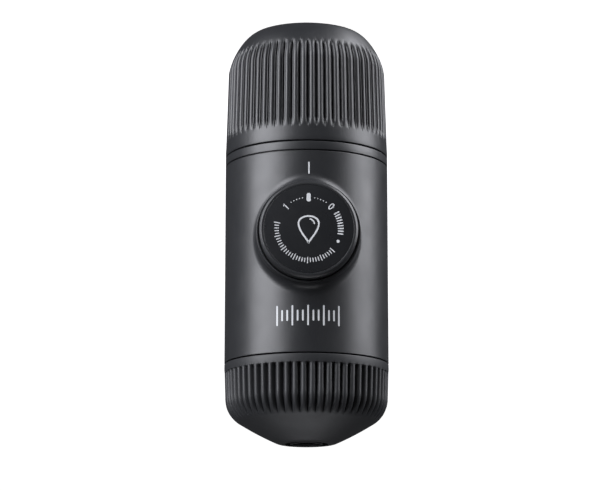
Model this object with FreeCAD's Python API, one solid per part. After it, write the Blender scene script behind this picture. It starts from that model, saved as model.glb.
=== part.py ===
import FreeCAD, Part
import math
import os

# Handheld manual espresso maker. Millimetres, +Z up.
# The tank's flat end stands on z = 0 and the outlet is at the top. The thumb piston looks along -Y.

V = FreeCAD.Vector
Y_AXIS = V(0, 1, 0)
Z_AXIS = V(0, 0, 1)

# ---------------------------------------------------------------- driving dimensions

# gaps
SEAM_GAP = 0.4            # visible seams between the outer pieces
MOVING_GAP = 0.3          # between curved faces that move apart
SLIP_GAP = 0.05           # running fit of the plunger, radial
SEAT_GAP = 0.05           # radial gap of pieces seated in one another
PLAY = 0.1                # axial play of captive pieces

# outer form
BODY_R = 30.5             # tank mouth, ring, casing and portafilter mouth
TANK_LENGTH = 47.8
RING_LENGTH = 3.2         # the plain ring of the tank's neck
CASING_LENGTH = 74.8
PORTAFILTER_LENGTH = 29.4

# water tank
TANK_TAPER = 0.9          # radius lost between the mouth and the shoulder
SHOULDER_HEIGHT = 15.3
SHOULDER_WIDTH = 9.7      # from the wall in to the flat end that the maker stands on
SHOULDER_POWER = 1.466    # exponent of the superellipse of the shoulder
TANK_WALL = 2.8           # behind the flutes' crests
TANK_FLOOR = 2.4

# flutes of the tank and the portafilter
FLUTE_COUNT = 60
FLUTE_FLOOR = 0.8         # width of the groove's floor
FLUTE_FLARE = 0.5         # how far each side leans out per millimetre of depth
FLUTE_DEPTH = 1.1
GROOVE_REACH = 2.5        # height of the cutter in groove depths
GROOVE_PAST = 0.4         # how far the cutter's ends run past a groove's ends, as a share
TANK_FLUTE_MARGIN = 5.0   # plain band under the tank's rim
TANK_FLUTE_RUNOUT = 2.9   # length over which a groove loses its depth
TANK_FLUTE_LOW = 8.0      # where the grooves run out on the shoulder
TANK_FLUTE_KNEE = 16.0    # where the grooves start to follow the shoulder
HEAD_FLUTE_MARGIN = 3.0   # plain band beside the portafilter's mouth
HEAD_FLUTE_RUNOUT = 1.4
HEAD_FLUTE_KNEE = 14.5    # where the grooves start to follow the rounding
HEAD_FLUTE_END = 20.8     # where the grooves run out, from the mouth

# tank neck
NECK_SET_IN = 3.5         # from the body's surface in to the threaded neck, over the thread
NECK_LENGTH = 9.0
NECK_END_GAP = 1.0        # between the neck's end and the step in the tank
NECK_CHAMFER = 0.6
NECK_WALL = 2.6
NECK_FLOOR = 3.2
GASKET_WIDTH = 2.0
NECK_SCREW_COUNT = 4
NECK_SCREW_SET_IN = 4.4   # from the neck's bore in to the screws' circle
SCREW_R = 1.5
SCREW_HEAD_R = 2.8
SCREW_HEAD = 2.0
STRAINER_R = 6.5
STRAINER_DEPTH = 2.4
STRAINER_SHEET = 0.6
STRAINER_HOLE_R = 1.0

# casing
CASING_WALL = 2.5
SEAM_REBATE = 0.8         # how deep a seam is sunk in the casing's ends
PISTON_RISE = 31.8        # from the casing's foot to the piston's axis
BOSS_RISE = 5.4           # of the rim round the cap over the body's surface
BOSS_RIM = 0.75           # width of that rim
BOSS_FILLET = 6.0
CASING_FLANGE_REBATE = 1.6

# piston
CAP_R = 17.8
CAP_RISE = 10.0           # of the cap's face over the body's surface
CAP_SKIRT_END = 2.0       # how near the skirt comes to the body's axis
CAP_TOP = 2.6             # thickness of the cap's top
CAP_WALL = 1.6
CAP_CHAMFER = 0.8
CAP_SCREW_LENGTH = 8.0
STROKE = 14.0
DISC_R = 16.2
DISC_THICKNESS = 0.6
PLUNGER_R = 6.0           # bore of the cylinder liner
PLUNGER_HEAD = 8.0
ROD_R = 3.2
SEAL_WIDTH = 1.9
SEAL_HEIGHT = 1.3
KEY_COUNT = 3
KEY_WIDTH = 4.0
KEY_ANGLE = 60.0          # of the first key, from straight up
SLOT_END_GAP = 1.0        # between a key and the blind end of its slot
RING_WALL = 2.4           # turning ring
TURNING_RING_DEPTH = 10.5 # from the body's surface in to the turning ring
TURNING_RING_LENGTH = 6.0

# pump
LINER_WALL = 2.0
BARREL_R = 13.0
BARREL_FRONT = 13.0
BARREL_SHOULDER = 1.5
GUIDE_WALL = 1.9
GUIDE_FLOOR = 3.0
GLAND_R = 11.5
GLAND_LENGTH = 3.0
CHAMBER_LENGTH = 6.0      # water space behind the plunger when it is pressed
PORT_R = 1.5
PLUG_R = 7.5
PLUG_LENGTH = 6.0
PLUG_SEAL = 1.0
PLUG_SLOT = (8.0, 1.5, 1.6)   # length, depth and width of the driver's slot
PILLAR_R = 8.0
FLANGE_FIT = 0.5          # between the foot flange and the casing
FLANGE_THICKNESS = 3.2
TIE_R = 2.0
TIE_POST_R = 4.0
TIE_POST_HEIGHT = 6.0     # above the foot flange
TIE_NUT_R = 3.5
TIE_NUT_HEIGHT = 2.4
TIE_GRIP = 5.0            # length of the long screws inside the group head
TIE_SET_IN = 6.0          # from the casing's bore in to the long screws
TIE_SET_BACK = 8.0
RETURN_COIL_R = 9.2
RETURN_WIRE = 1.4
RETURN_TURNS = 5
COIL_SIDES = 12           # straight runs in one turn of a spring

# valves
VALVE_BORE_R = 4.5
VALVE_SEAT_LENGTH = 4.0
VALVE_PORT_R = 1.4
VALVE_MOUTH_R = 3.0       # wide end of the conical seat
POPPET_RIM = 0.8
POPPET_STEM_R = 1.2
POPPET_STEM = 2.2
INLET_CAGE_LENGTH = 9.5
OUTLET_CAGE_START = 13.5  # above the piston's axis
VALVE_WIRE = 0.6
VALVE_COIL_R = 2.0
VALVE_TURNS = 3
VALVE_SPRING_LENGTH = 4.6
RISER_GRIP = 3.0          # length of the riser inside the group head
RISER_SEAL = 1.0

# group head
GROUP_DEPTH = 8.2         # part of the group head inside the casing
GROUP_SET_IN = 3.9        # from the body's surface in to the group head's neck
GROUP_NECK_LENGTH = 5.8
GROUP_LIP = 1.1
GROUP_NECK_WALL = 4.6     # of the neck round the screen
SCREEN_THICKNESS = 0.8
SCREEN_SEAT = 1.5
SCREEN_DEPTH = 2.5        # from the end of the neck to the screen
CHAMBER_DEPTH = 1.5
SCREEN_HOLE_R = 1.0
SCREEN_HOLE_STEP = 8.5
SCREEN_HOLE_RINGS = 2
POST_R = 3.6
SCREEN_SCREW_DEPTH = 4.0
GROUP_GASKET = 1.2
GROUP_GASKET_INSET = 0.6  # from the edges of the neck's end

# basket, portafilter and outlet
BASKET_SET_IN = 0.4       # from the neck's outside in to the basket's rim
BASKET_SHEET = 0.6
BASKET_RIM = 0.8
BASKET_FLANGE = 4.2
BASKET_DEPTH = 12.8
HEAD_TAPER = 0.4
HEAD_STRAIGHT = 12.7
HEAD_ROUNDING = 10.5
TIP_R = 10.85
TIP_EDGE_R = 7.0
HEAD_WALL = 2.4
NOZZLE_R = 5.2
NOZZLE_BORE_R = 3.6
NOZZLE_THROAT_R = 2.2
NOZZLE_STEM_R = 4.2
NOZZLE_COLLAR = 1.6
NOZZLE_SINK = 0.5
NOZZLE_SEAL = 0.5
NOZZLE_FUNNEL = 0.8       # depth of the cone between the outlet's bore and throat
FUNNEL_SHELF = 2.0        # width of the slope round the basket's bottom
NOTCH_REACH = 7.0
NOTCH_R = 1.2
NOTCH_DEPTH = 1.0

# ---------------------------------------------------------------- derived places

TANK_TOP = TANK_LENGTH
RING_BASE = TANK_TOP + SEAM_GAP
CASING_BASE = RING_BASE + RING_LENGTH
CASING_TOP = CASING_BASE + CASING_LENGTH
HEAD_BASE = CASING_TOP + SEAM_GAP
HEAD_TIP = HEAD_BASE + PORTAFILTER_LENGTH
CASING_BORE_R = BODY_R - CASING_WALL
AXIS_Z = CASING_BASE + PISTON_RISE
BASE_R = BODY_R - TANK_TAPER - SHOULDER_WIDTH
NECK_R = BODY_R - NECK_SET_IN
NECK_SCREW_CIRCLE_R = NECK_R - NECK_WALL - NECK_SCREW_SET_IN
FLANGE_R = CASING_BORE_R - FLANGE_FIT
TIE_REACH = CASING_BORE_R - TIE_SET_IN
GROUP_NECK_R = BODY_R - GROUP_SET_IN
SCREEN_R = GROUP_NECK_R - GROUP_NECK_WALL
BASKET_R = GROUP_NECK_R - BASKET_SET_IN - BASKET_FLANGE

BOSS_FRONT = BODY_R + BOSS_RISE
CAP_FACE = BODY_R + CAP_RISE
TURNING_RING_FRONT = BODY_R - TURNING_RING_DEPTH
CAP_BORE_R = CAP_R + MOVING_GAP
BOSS_R = CAP_BORE_R + BOSS_RIM
RING_OUTER_R = CAP_BORE_R + RING_WALL
TURNING_RING_BACK = TURNING_RING_FRONT - TURNING_RING_LENGTH
CHAMBER_END = CAP_SKIRT_END + STROKE
PORT_Y = CHAMBER_END - CHAMBER_LENGTH / 2
HEAD_END = CHAMBER_END - CHAMBER_LENGTH
HEAD_START = HEAD_END - PLUNGER_HEAD
PLUNGER_FIT_R = PLUNGER_R - SLIP_GAP
LINER_R = PLUNGER_R + LINER_WALL
GUIDE_BACK = GUIDE_FLOOR + PLAY
PLUG_END = CHAMBER_END + PLUG_LENGTH

FLANGE_TOP = CASING_BASE + FLANGE_THICKNESS
POST_TOP = FLANGE_TOP + TIE_POST_HEIGHT
INLET_CAGE_TOP = CASING_BASE + INLET_CAGE_LENGTH
OUTLET_CAGE_BASE = AXIS_Z + OUTLET_CAGE_START
GROUP_BASE = CASING_TOP - GROUP_DEPTH
PILLAR_TOP = GROUP_BASE
GROUP_NECK_TOP = CASING_TOP + GROUP_NECK_LENGTH
SCREEN_TOP = GROUP_NECK_TOP - SCREEN_DEPTH
SCREEN_BASE = SCREEN_TOP - SCREEN_THICKNESS
BASKET_TOP = GROUP_NECK_TOP + GROUP_GASKET
LEDGE = BASKET_TOP + BASKET_RIM
BASKET_BOTTOM = LEDGE + BASKET_DEPTH
HEAD_BORE_R = GROUP_NECK_R + MOVING_GAP


# ---------------------------------------------------------------- helpers


def along_z(radius, low, high, x=0.0, y=0.0):
    """Upright cylinder between two heights."""
    return Part.makeCylinder(radius, high - low, V(x, y, low))


def ring_z(outer, inner, low, high, x=0.0, y=0.0):
    """Upright ring between two heights."""
    return along_z(outer, low, high, x, y).cut(along_z(inner, low, high, x, y))


def along_y(radius, front, back):
    """Cylinder on the piston's axis; front and back are y values."""
    return Part.makeCylinder(radius, back - front, V(0, front, AXIS_Z), Y_AXIS)


def ring_y(outer, inner, front, back):
    """Ring on the piston's axis between two y values."""
    return along_y(outer, front, back).cut(along_y(inner, front, back))


def revolved(edges):
    """Solid turned about Z from a closed outline in the XZ plane."""
    wire = Part.Wire(Part.__sortEdges__(edges))
    return Part.Face(wire).revolve(V(0, 0, 0), Z_AXIS, 360)


def outline(*points):
    """Straight edges through (radius, height) points in the XZ plane."""
    corners = [V(r, 0, z) for r, z in points]
    return [Part.makeLine(a, b) for a, b in zip(corners, corners[1:])]


def turned(*points):
    """Solid turned about Z from a closed polygon of (radius, height) corners."""
    return revolved(outline(*points, points[0]))


def copies_round(shape, count, axis=Z_AXIS, centre=V(0, 0, 0), start=0.0):
    """Equal copies about an axis, the first one turned by start degrees."""
    made = []
    for i in range(count):
        copy = shape.copy()
        copy.rotate(centre, axis, start + 360.0 * i / count)
        made.append(copy)
    return made


def groove_cutter(path):
    """Cutter with leaning sides whose floor follows a path of (radius, height) points."""
    sections = []
    reach = GROOVE_REACH * FLUTE_DEPTH
    floor = FLUTE_FLOOR / 2
    mouth = floor + reach * FLUTE_FLARE
    for r, z in path:
        corners = [V(r, -floor, z), V(r, floor, z), V(r + reach, mouth, z), V(r + reach, -mouth, z)]
        sections.append(Part.makePolygon(corners + corners[:1]))
    return Part.makeLoft(sections, True, True)


def coil(radius, wire, turns, base, top, direction):
    """Spring of square wire from base to top along a direction, bent in short straight runs."""
    rise = (top - base).Length - wire
    runs = COIL_SIDES * turns
    sections = []
    for i in range(runs + 1):
        turn = 2 * math.pi * i / COIL_SIDES
        outward = V(math.cos(turn), math.sin(turn), 0)
        low = rise * i / runs
        inner = outward * (radius - wire / 2)
        outer = outward * (radius + wire / 2)
        corners = [inner + V(0, 0, low), outer + V(0, 0, low), outer + V(0, 0, low + wire),
                   inner + V(0, 0, low + wire)]
        sections.append(Part.makePolygon(corners + corners[:1]))
    spring = Part.makeLoft(sections, True, True)
    spring.Placement = FreeCAD.Placement(base, FreeCAD.Rotation(Z_AXIS, direction)) * spring.Placement
    return spring


def hexagon(radius, low, high, x=0.0):
    """Upright hexagonal prism."""
    corners = []
    for i in range(7):
        turn = math.radians(60 * i)
        corners.append(V(x + radius * math.cos(turn), radius * math.sin(turn), low))
    return Part.Face(Part.makePolygon(corners)).extrude(V(0, 0, high - low))


def perforated(disc, step, rings, hole_r, inner=0):
    """Disc about Z with rings of small holes."""
    holes = []
    low = disc.BoundBox.ZMin - 1
    high = disc.BoundBox.ZMax + 1
    for ring in range(inner, rings + 1):
        hole = hexagon(hole_r, low, high, ring * step)
        holes += copies_round(hole, max(1, 6 * ring))
    return disc.cut(holes)


# ---------------------------------------------------------------- water tank


def shoulder_point(turn, flat_r, wall_r, low, high):
    """Point of the superellipse shoulder; turn is 0 at its top and 90 degrees at its foot."""
    power = 2 / SHOULDER_POWER
    r = flat_r + (wall_r - flat_r) * math.cos(turn) ** power
    z = high - (high - low) * math.sin(turn) ** power
    return r, z


def shoulder(flat_r, wall_r, low, high):
    """Shoulder curve from the wall down to the flat end."""
    points = [V(wall_r, 0, high)]
    for step in range(1, 6):
        r, z = shoulder_point(math.radians(15 * step), flat_r, wall_r, low, high)
        points.append(V(r, 0, z))
    points.append(V(flat_r, 0, low))
    curve = Part.BSplineCurve()
    curve.interpolate(points)
    return curve.toShape()


def tank_wall_r(z):
    """Outer radius of the tank at a height above its shoulder."""
    return BODY_R - TANK_TAPER * (TANK_TOP - z) / (TANK_TOP - SHOULDER_HEIGHT)


def tank_shoulder_r(z):
    """Outer radius of the tank at a height on its shoulder."""
    power = SHOULDER_POWER / 2
    turn = math.asin((1 - z / SHOULDER_HEIGHT) ** power)
    return shoulder_point(turn, BASE_R, BODY_R - TANK_TAPER, 0, SHOULDER_HEIGHT)[0]


def tank_flute():
    """Cutter of one tank groove: a pointed run-out by the rim and a long one on the shoulder."""
    full = TANK_TOP - TANK_FLUTE_MARGIN - TANK_FLUTE_RUNOUT
    floor_r = tank_wall_r(full) - FLUTE_DEPTH
    knee_r = tank_wall_r(TANK_FLUTE_KNEE) - FLUTE_DEPTH
    low_r = tank_shoulder_r(TANK_FLUTE_LOW)
    reach = 1 + GROOVE_PAST
    path = (
        (floor_r + reach * FLUTE_DEPTH, full + reach * TANK_FLUTE_RUNOUT),
        (floor_r, full),
        (knee_r, TANK_FLUTE_KNEE),
        (knee_r - reach * (knee_r - low_r), TANK_FLUTE_KNEE - reach * (TANK_FLUTE_KNEE - TANK_FLUTE_LOW)),
    )
    return groove_cutter(path)


def water_tank():
    """Fluted cup that screws on the neck; the maker stands on its flat end."""
    wall_r = BODY_R - TANK_TAPER
    outer = revolved(
        outline((wall_r, SHOULDER_HEIGHT), (BODY_R, TANK_TOP), (0, TANK_TOP), (0, 0), (BASE_R, 0))
        + [shoulder(BASE_R, wall_r, 0, SHOULDER_HEIGHT)]
    )
    bore_r = wall_r - TANK_WALL
    socket_r = NECK_R + MOVING_GAP
    socket_base = TANK_TOP - NECK_LENGTH - NECK_END_GAP
    floor_r = BASE_R - TANK_FLOOR
    cavity = turned(
        (0, TANK_FLOOR), (floor_r, TANK_FLOOR), (bore_r, SHOULDER_HEIGHT), (bore_r, socket_base),
        (socket_r, socket_base), (socket_r, TANK_TOP), (0, TANK_TOP),
    )
    return outer.cut(copies_round(tank_flute(), FLUTE_COUNT, start=-90)).cut(cavity)


def tank_gasket():
    """Flat ring between the tank's rim and the neck's ring."""
    inner = NECK_R + MOVING_GAP
    return ring_z(inner + GASKET_WIDTH, inner, TANK_TOP, RING_BASE)


# ---------------------------------------------------------------- tank neck


def screw_places():
    """Places of the neck screws, clear of the inlet."""
    places = []
    for i in range(NECK_SCREW_COUNT):
        turn = math.radians(45 + 360.0 * i / NECK_SCREW_COUNT)
        places.append((NECK_SCREW_CIRCLE_R * math.cos(turn), NECK_SCREW_CIRCLE_R * math.sin(turn)))
    return places


def tank_neck():
    """Plain ring with the neck that the tank screws on, closed by a floor under the pump."""
    neck_bore = NECK_R - NECK_WALL
    floor_base = CASING_BASE - NECK_FLOOR
    neck = turned(
        (0, floor_base), (neck_bore, floor_base), (neck_bore, RING_BASE - NECK_LENGTH),
        (NECK_R - NECK_CHAMFER, RING_BASE - NECK_LENGTH), (NECK_R, RING_BASE - NECK_LENGTH + NECK_CHAMFER),
        (NECK_R, RING_BASE), (BODY_R, RING_BASE), (BODY_R, CASING_BASE), (0, CASING_BASE),
    )
    holes = [along_z(VALVE_PORT_R, floor_base, CASING_BASE, 0, PORT_Y)]
    for x, y in screw_places():
        holes.append(along_z(SCREW_R + SEAT_GAP, floor_base, CASING_BASE, x, y))
    return neck.cut(holes)


def neck_screws():
    """Pan head screws that hold the neck to the pump block."""
    head_top = CASING_BASE - NECK_FLOOR
    screws = []
    for x, y in screw_places():
        head = along_z(SCREW_HEAD_R, head_top - SCREW_HEAD, head_top, x, y)
        screws.append(head.fuse(along_z(SCREW_R, head_top, FLANGE_TOP, x, y)).removeSplitter())
    return Part.makeCompound(screws)


def inlet_strainer():
    """Perforated cup over the inlet, on the tank's side of the floor."""
    top = CASING_BASE - NECK_FLOOR
    low = top - STRAINER_DEPTH
    cup = along_z(STRAINER_R, low, top).cut(along_z(STRAINER_R - STRAINER_SHEET, low + STRAINER_SHEET, top))
    cup = perforated(cup, STRAINER_R / 2, 1, STRAINER_HOLE_R)
    cup.translate(V(0, PORT_Y, 0))
    return cup


# ---------------------------------------------------------------- casing


def body_shell():
    """Smooth casing with the raised, filleted boss that the thumb piston works in."""
    tube = along_z(BODY_R, CASING_BASE, CASING_TOP)
    boss = along_y(BOSS_R, -BOSS_FRONT, 0)
    form = tube.fuse(boss).removeSplitter()
    joint = [e for e in form.Edges if isinstance(e.Curve, Part.BSplineCurve) and e.BoundBox.YMax < 0]
    form = form.makeFillet(BOSS_FILLET, joint)
    lip = CASING_BORE_R + GROUP_LIP + SEAT_GAP
    cuts = [
        along_z(CASING_BORE_R, CASING_BASE, CASING_TOP),
        along_z(lip, CASING_TOP - CASING_FLANGE_REBATE, CASING_TOP),
        ring_z(BODY_R, BODY_R - SEAM_REBATE, CASING_BASE, CASING_BASE + SEAM_GAP),
        along_y(CAP_BORE_R, -BOSS_FRONT, 0),
        along_y(RING_OUTER_R + MOVING_GAP, -TURNING_RING_FRONT - PLAY, 0),
    ]
    return form.cut(cuts)


# ---------------------------------------------------------------- piston


def turning_ring():
    """Ring that turns with the cap in the casing's pocket; its keys run in the skirt's slots."""
    ring = ring_y(RING_OUTER_R, CAP_BORE_R, -TURNING_RING_FRONT, -TURNING_RING_BACK)
    reach = CAP_BORE_R + RING_WALL / 2
    inner = CAP_R - CAP_WALL + PLAY
    key = Part.makeBox(KEY_WIDTH, TURNING_RING_LENGTH, reach - inner,
                       V(-KEY_WIDTH / 2, -TURNING_RING_FRONT, AXIS_Z + inner))
    keys = copies_round(key, KEY_COUNT, Y_AXIS, V(0, 0, AXIS_Z), KEY_ANGLE)
    return ring.fuse(keys).removeSplitter()


def piston_cap():
    """Round thumb cap: a deep cup with a chamfered face and slots for the ring's keys."""
    cup = along_y(CAP_R, -CAP_FACE, -CAP_SKIRT_END)
    rim = [e for e in cup.Edges if abs(e.BoundBox.YMin + CAP_FACE) < 0.01 and e.BoundBox.YLength < 0.01]
    cup = cup.makeChamfer(CAP_CHAMFER, rim)
    slot_width = KEY_WIDTH + 2 * MOVING_GAP
    slot_front = -TURNING_RING_FRONT - SLOT_END_GAP
    slot = Part.makeBox(slot_width, -CAP_SKIRT_END - slot_front, 2 * CAP_WALL,
                        V(-slot_width / 2, slot_front, AXIS_Z + CAP_R - 1.5 * CAP_WALL))
    cuts = copies_round(slot, KEY_COUNT, Y_AXIS, V(0, 0, AXIS_Z), KEY_ANGLE)
    cuts += [
        along_y(CAP_R - CAP_WALL, -CAP_FACE + CAP_TOP, -CAP_SKIRT_END),
        along_y(DISC_R + SEAT_GAP, -CAP_FACE, -CAP_FACE + DISC_THICKNESS),
        cap_screw(SEAT_GAP),
    ]
    return cup.cut(cuts)


def face_disc():
    """Printed disc let into the cap's face."""
    return along_y(DISC_R, -CAP_FACE, -CAP_FACE + DISC_THICKNESS)


def cap_screw(gap=0.0):
    """Countersunk screw that ties the cap to the plunger's rod; gap makes its hole."""
    head_front = -CAP_FACE + DISC_THICKNESS
    head_back = -CAP_FACE + CAP_TOP
    head = Part.makeCone(SCREW_HEAD_R + gap, SCREW_R + gap, head_back - head_front,
                         V(0, head_front, AXIS_Z), Y_AXIS)
    return head.fuse(along_y(SCREW_R + gap, head_back, head_back + CAP_SCREW_LENGTH)).removeSplitter()


def seal_front():
    """Front face of the groove in the plunger's head."""
    return HEAD_START + (PLUNGER_HEAD - SEAL_WIDTH) / 2


def plunger():
    """Rod and head that drive the water out of the liner."""
    rod = along_y(ROD_R, -CAP_FACE + CAP_TOP, HEAD_START)
    head = along_y(PLUNGER_FIT_R, HEAD_START, HEAD_END)
    groove_front = seal_front() - PLAY / 2
    groove = ring_y(PLUNGER_R, PLUNGER_R - SEAL_HEIGHT, groove_front, groove_front + SEAL_WIDTH + PLAY)
    return rod.fuse(head).removeSplitter().cut([groove, cap_screw(SEAT_GAP)])


def plunger_seal():
    """Seal ring in the plunger's groove."""
    inner = PLUNGER_R - SEAL_HEIGHT + SEAT_GAP
    return ring_y(PLUNGER_R - SLIP_GAP / 2, inner, seal_front(), seal_front() + SEAL_WIDTH)


def return_spring():
    """Spring between the gland nut and the inside of the cap, shown with the cap pressed."""
    front = V(0, -CAP_FACE + CAP_TOP, AXIS_Z)
    back = V(0, -BARREL_FRONT - GLAND_LENGTH, AXIS_Z)
    return coil(RETURN_COIL_R, RETURN_WIRE, RETURN_TURNS, front, back, Y_AXIS)


# ---------------------------------------------------------------- pump


def tie_places():
    """Places of the two long screws, beside the piston."""
    return [(-TIE_REACH, TIE_SET_BACK), (TIE_REACH, TIE_SET_BACK)]


def pump_block():
    """Moulded chassis: foot flange, valve pillar, cross barrel and posts of the long screws."""
    flange = along_z(FLANGE_R, CASING_BASE, FLANGE_TOP)
    pillar = along_z(PILLAR_R, CASING_BASE, PILLAR_TOP, 0, PORT_Y)
    barrel = along_y(BARREL_R, -BARREL_FRONT, PLUG_END)
    shoulder_ring = along_y(BARREL_R + BARREL_SHOULDER, GUIDE_BACK, PLUG_END)
    block = flange.fuse([pillar, barrel, shoulder_ring])
    block = block.fuse([along_z(TIE_POST_R, CASING_BASE, POST_TOP, x, y) for x, y in tie_places()])
    cuts = [
        along_y(LINER_R + SEAT_GAP, -BARREL_FRONT, HEAD_END),
        along_y(PLUNGER_R, HEAD_END, CHAMBER_END),
        along_y(PLUG_R + SEAT_GAP, CHAMBER_END, PLUG_END),
        along_z(VALVE_BORE_R + SEAT_GAP, CASING_BASE, INLET_CAGE_TOP, 0, PORT_Y),
        along_z(PORT_R, INLET_CAGE_TOP, OUTLET_CAGE_BASE, 0, PORT_Y),
        along_z(VALVE_BORE_R + SEAT_GAP, OUTLET_CAGE_BASE, PILLAR_TOP, 0, PORT_Y),
    ]
    cuts += [along_z(SCREW_R + SEAT_GAP, CASING_BASE, FLANGE_TOP, x, y) for x, y in screw_places()]
    cuts += [along_z(TIE_R + SEAT_GAP, CASING_BASE, POST_TOP, x, y) for x, y in tie_places()]
    return block.removeSplitter().cut(cuts)


def piston_guide():
    """Cup round the barrel that keeps the turning ring in its pocket and guides the skirt."""
    outer_r = CAP_BORE_R + GUIDE_WALL
    front = -TURNING_RING_BACK + PLAY
    cup = along_y(outer_r, front, GUIDE_BACK)
    return cup.cut([along_y(CAP_BORE_R, front, GUIDE_BACK - GUIDE_FLOOR),
                    along_y(BARREL_R + SEAT_GAP, front, GUIDE_BACK)])


def cylinder_liner():
    """Metal sleeve that the plunger runs in."""
    return ring_y(LINER_R, PLUNGER_R, -BARREL_FRONT, HEAD_END)


def gland_nut():
    """Nut on the barrel's mouth that stops the plunger's head and seats the return spring."""
    return ring_y(GLAND_R, ROD_R + SLIP_GAP, -BARREL_FRONT - GLAND_LENGTH, -BARREL_FRONT)


def end_plug():
    """Plug that closes the back of the barrel."""
    plug = along_y(PLUG_R, CHAMBER_END + PLUG_SEAL, PLUG_END)
    length, depth, width = PLUG_SLOT
    slot = Part.makeBox(length, depth, width, V(-length / 2, PLUG_END - depth, AXIS_Z - width / 2))
    return plug.cut(slot)


def plug_seal():
    """Flat seal between the plug and the chamber."""
    return ring_y(PLUG_R, PLUNGER_R, CHAMBER_END, CHAMBER_END + PLUG_SEAL)


def tie_screws():
    """Two long screws that pull the group head down on the casing."""
    screws = []
    for x, y in tie_places():
        shaft = along_z(TIE_R, CASING_BASE + PLAY, GROUP_BASE + TIE_GRIP, x, y)
        nut = along_z(TIE_NUT_R, POST_TOP, POST_TOP + TIE_NUT_HEIGHT, x, y)
        screws.append(shaft.fuse(nut).removeSplitter())
    return Part.makeCompound(screws)


# ---------------------------------------------------------------- valves


def valve_seat(base):
    """Bush with a conical seat for the poppet."""
    top = base + VALVE_SEAT_LENGTH
    bush = turned(
        (VALVE_PORT_R, base), (VALVE_BORE_R, base), (VALVE_BORE_R, top), (VALVE_MOUTH_R, top),
        (VALVE_PORT_R, top - VALVE_MOUTH_R + VALVE_PORT_R),
    )
    bush.translate(V(0, PORT_Y, 0))
    return bush


def poppet_shoulder(base):
    """Height of the closed poppet's shoulder, where its spring sits."""
    return base + VALVE_SEAT_LENGTH + POPPET_RIM + PLAY


def valve_poppet(base):
    """Cone on its seat, with a rim and a stem that keeps the spring central."""
    shoulder_z = poppet_shoulder(base)
    rim_base = shoulder_z - POPPET_RIM
    cone = VALVE_MOUTH_R - VALVE_PORT_R
    poppet = turned(
        (0, rim_base - cone), (VALVE_PORT_R, rim_base - cone), (VALVE_MOUTH_R, rim_base),
        (VALVE_MOUTH_R, shoulder_z), (POPPET_STEM_R, shoulder_z),
        (POPPET_STEM_R, shoulder_z + POPPET_STEM), (0, shoulder_z + POPPET_STEM),
    )
    poppet.translate(V(0, PORT_Y, 0))
    return poppet


def valve_spring(low, high):
    """Light spring that presses a poppet on its seat."""
    return coil(VALVE_COIL_R, VALVE_WIRE, VALVE_TURNS, V(0, PORT_Y, low), V(0, PORT_Y, high), V(0, 0, 1))


def inlet_spring():
    """Spring between the inlet's poppet and the roof of its cage."""
    return valve_spring(poppet_shoulder(CASING_BASE), INLET_CAGE_TOP)


def outlet_spring():
    """Spring between the outlet's poppet and the riser."""
    return valve_spring(poppet_shoulder(OUTLET_CAGE_BASE), riser_base())


def riser_base():
    """Height where the riser tube holds the outlet's spring down."""
    return poppet_shoulder(OUTLET_CAGE_BASE) + VALVE_SPRING_LENGTH


def riser_tube():
    """Tube from the outlet valve into the group head."""
    tube = ring_z(VALVE_BORE_R, PORT_R, riser_base(), GROUP_BASE + RISER_GRIP)
    tube.translate(V(0, PORT_Y, 0))
    return tube


def riser_seal():
    """Flat seal between the riser and the group head's inlet."""
    low = GROUP_BASE + RISER_GRIP
    seal = ring_z(VALVE_BORE_R, PORT_R, low, low + RISER_SEAL)
    seal.translate(V(0, PORT_Y, 0))
    return seal


# ---------------------------------------------------------------- group head


def group_head():
    """Head in the casing's end: inlet, spreading chamber, and the neck that takes the portafilter."""
    lip_r = CASING_BORE_R + GROUP_LIP
    lip_base = CASING_TOP - CASING_FLANGE_REBATE
    screen_bore = SCREEN_R + SEAT_GAP
    chamber_base = SCREEN_BASE - CHAMBER_DEPTH
    body_r = CASING_BORE_R - SEAT_GAP
    head = turned(
        (0, GROUP_BASE), (body_r, GROUP_BASE), (body_r, lip_base), (lip_r, lip_base), (lip_r, CASING_TOP),
        (GROUP_NECK_R, CASING_TOP), (GROUP_NECK_R, GROUP_NECK_TOP - NECK_CHAMFER),
        (GROUP_NECK_R - NECK_CHAMFER, GROUP_NECK_TOP), (screen_bore, GROUP_NECK_TOP),
        (screen_bore, SCREEN_BASE),
        (screen_bore - SCREEN_SEAT, SCREEN_BASE), (screen_bore - SCREEN_SEAT, chamber_base),
        (POST_R, chamber_base), (POST_R, SCREEN_BASE), (0, SCREEN_BASE),
    )
    cuts = [
        along_z(VALVE_BORE_R + SEAT_GAP, GROUP_BASE, GROUP_BASE + RISER_GRIP + RISER_SEAL, 0, PORT_Y),
        along_z(PORT_R, GROUP_BASE, chamber_base, 0, PORT_Y),
        along_z(SCREW_R + SEAT_GAP, SCREEN_BASE - SCREEN_SCREW_DEPTH - PLAY, SCREEN_BASE),
    ]
    tie_end = GROUP_BASE + TIE_GRIP + PLAY
    cuts += [along_z(TIE_R + SEAT_GAP, GROUP_BASE, tie_end, x, y) for x, y in tie_places()]
    return head.cut(cuts)


def shower_screen():
    """Perforated disc that spreads the water over the coffee."""
    disc = ring_z(SCREEN_R, SCREW_R + SEAT_GAP, SCREEN_BASE, SCREEN_TOP)
    return perforated(disc, SCREEN_HOLE_STEP, SCREEN_HOLE_RINGS, SCREEN_HOLE_R, 1)


def screen_screw():
    """Screw that holds the shower screen to the post."""
    head = along_z(SCREW_HEAD_R, SCREEN_TOP, SCREEN_TOP + SCREW_HEAD / 2)
    return head.fuse(along_z(SCREW_R, SCREEN_BASE - SCREEN_SCREW_DEPTH, SCREEN_TOP)).removeSplitter()


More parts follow.
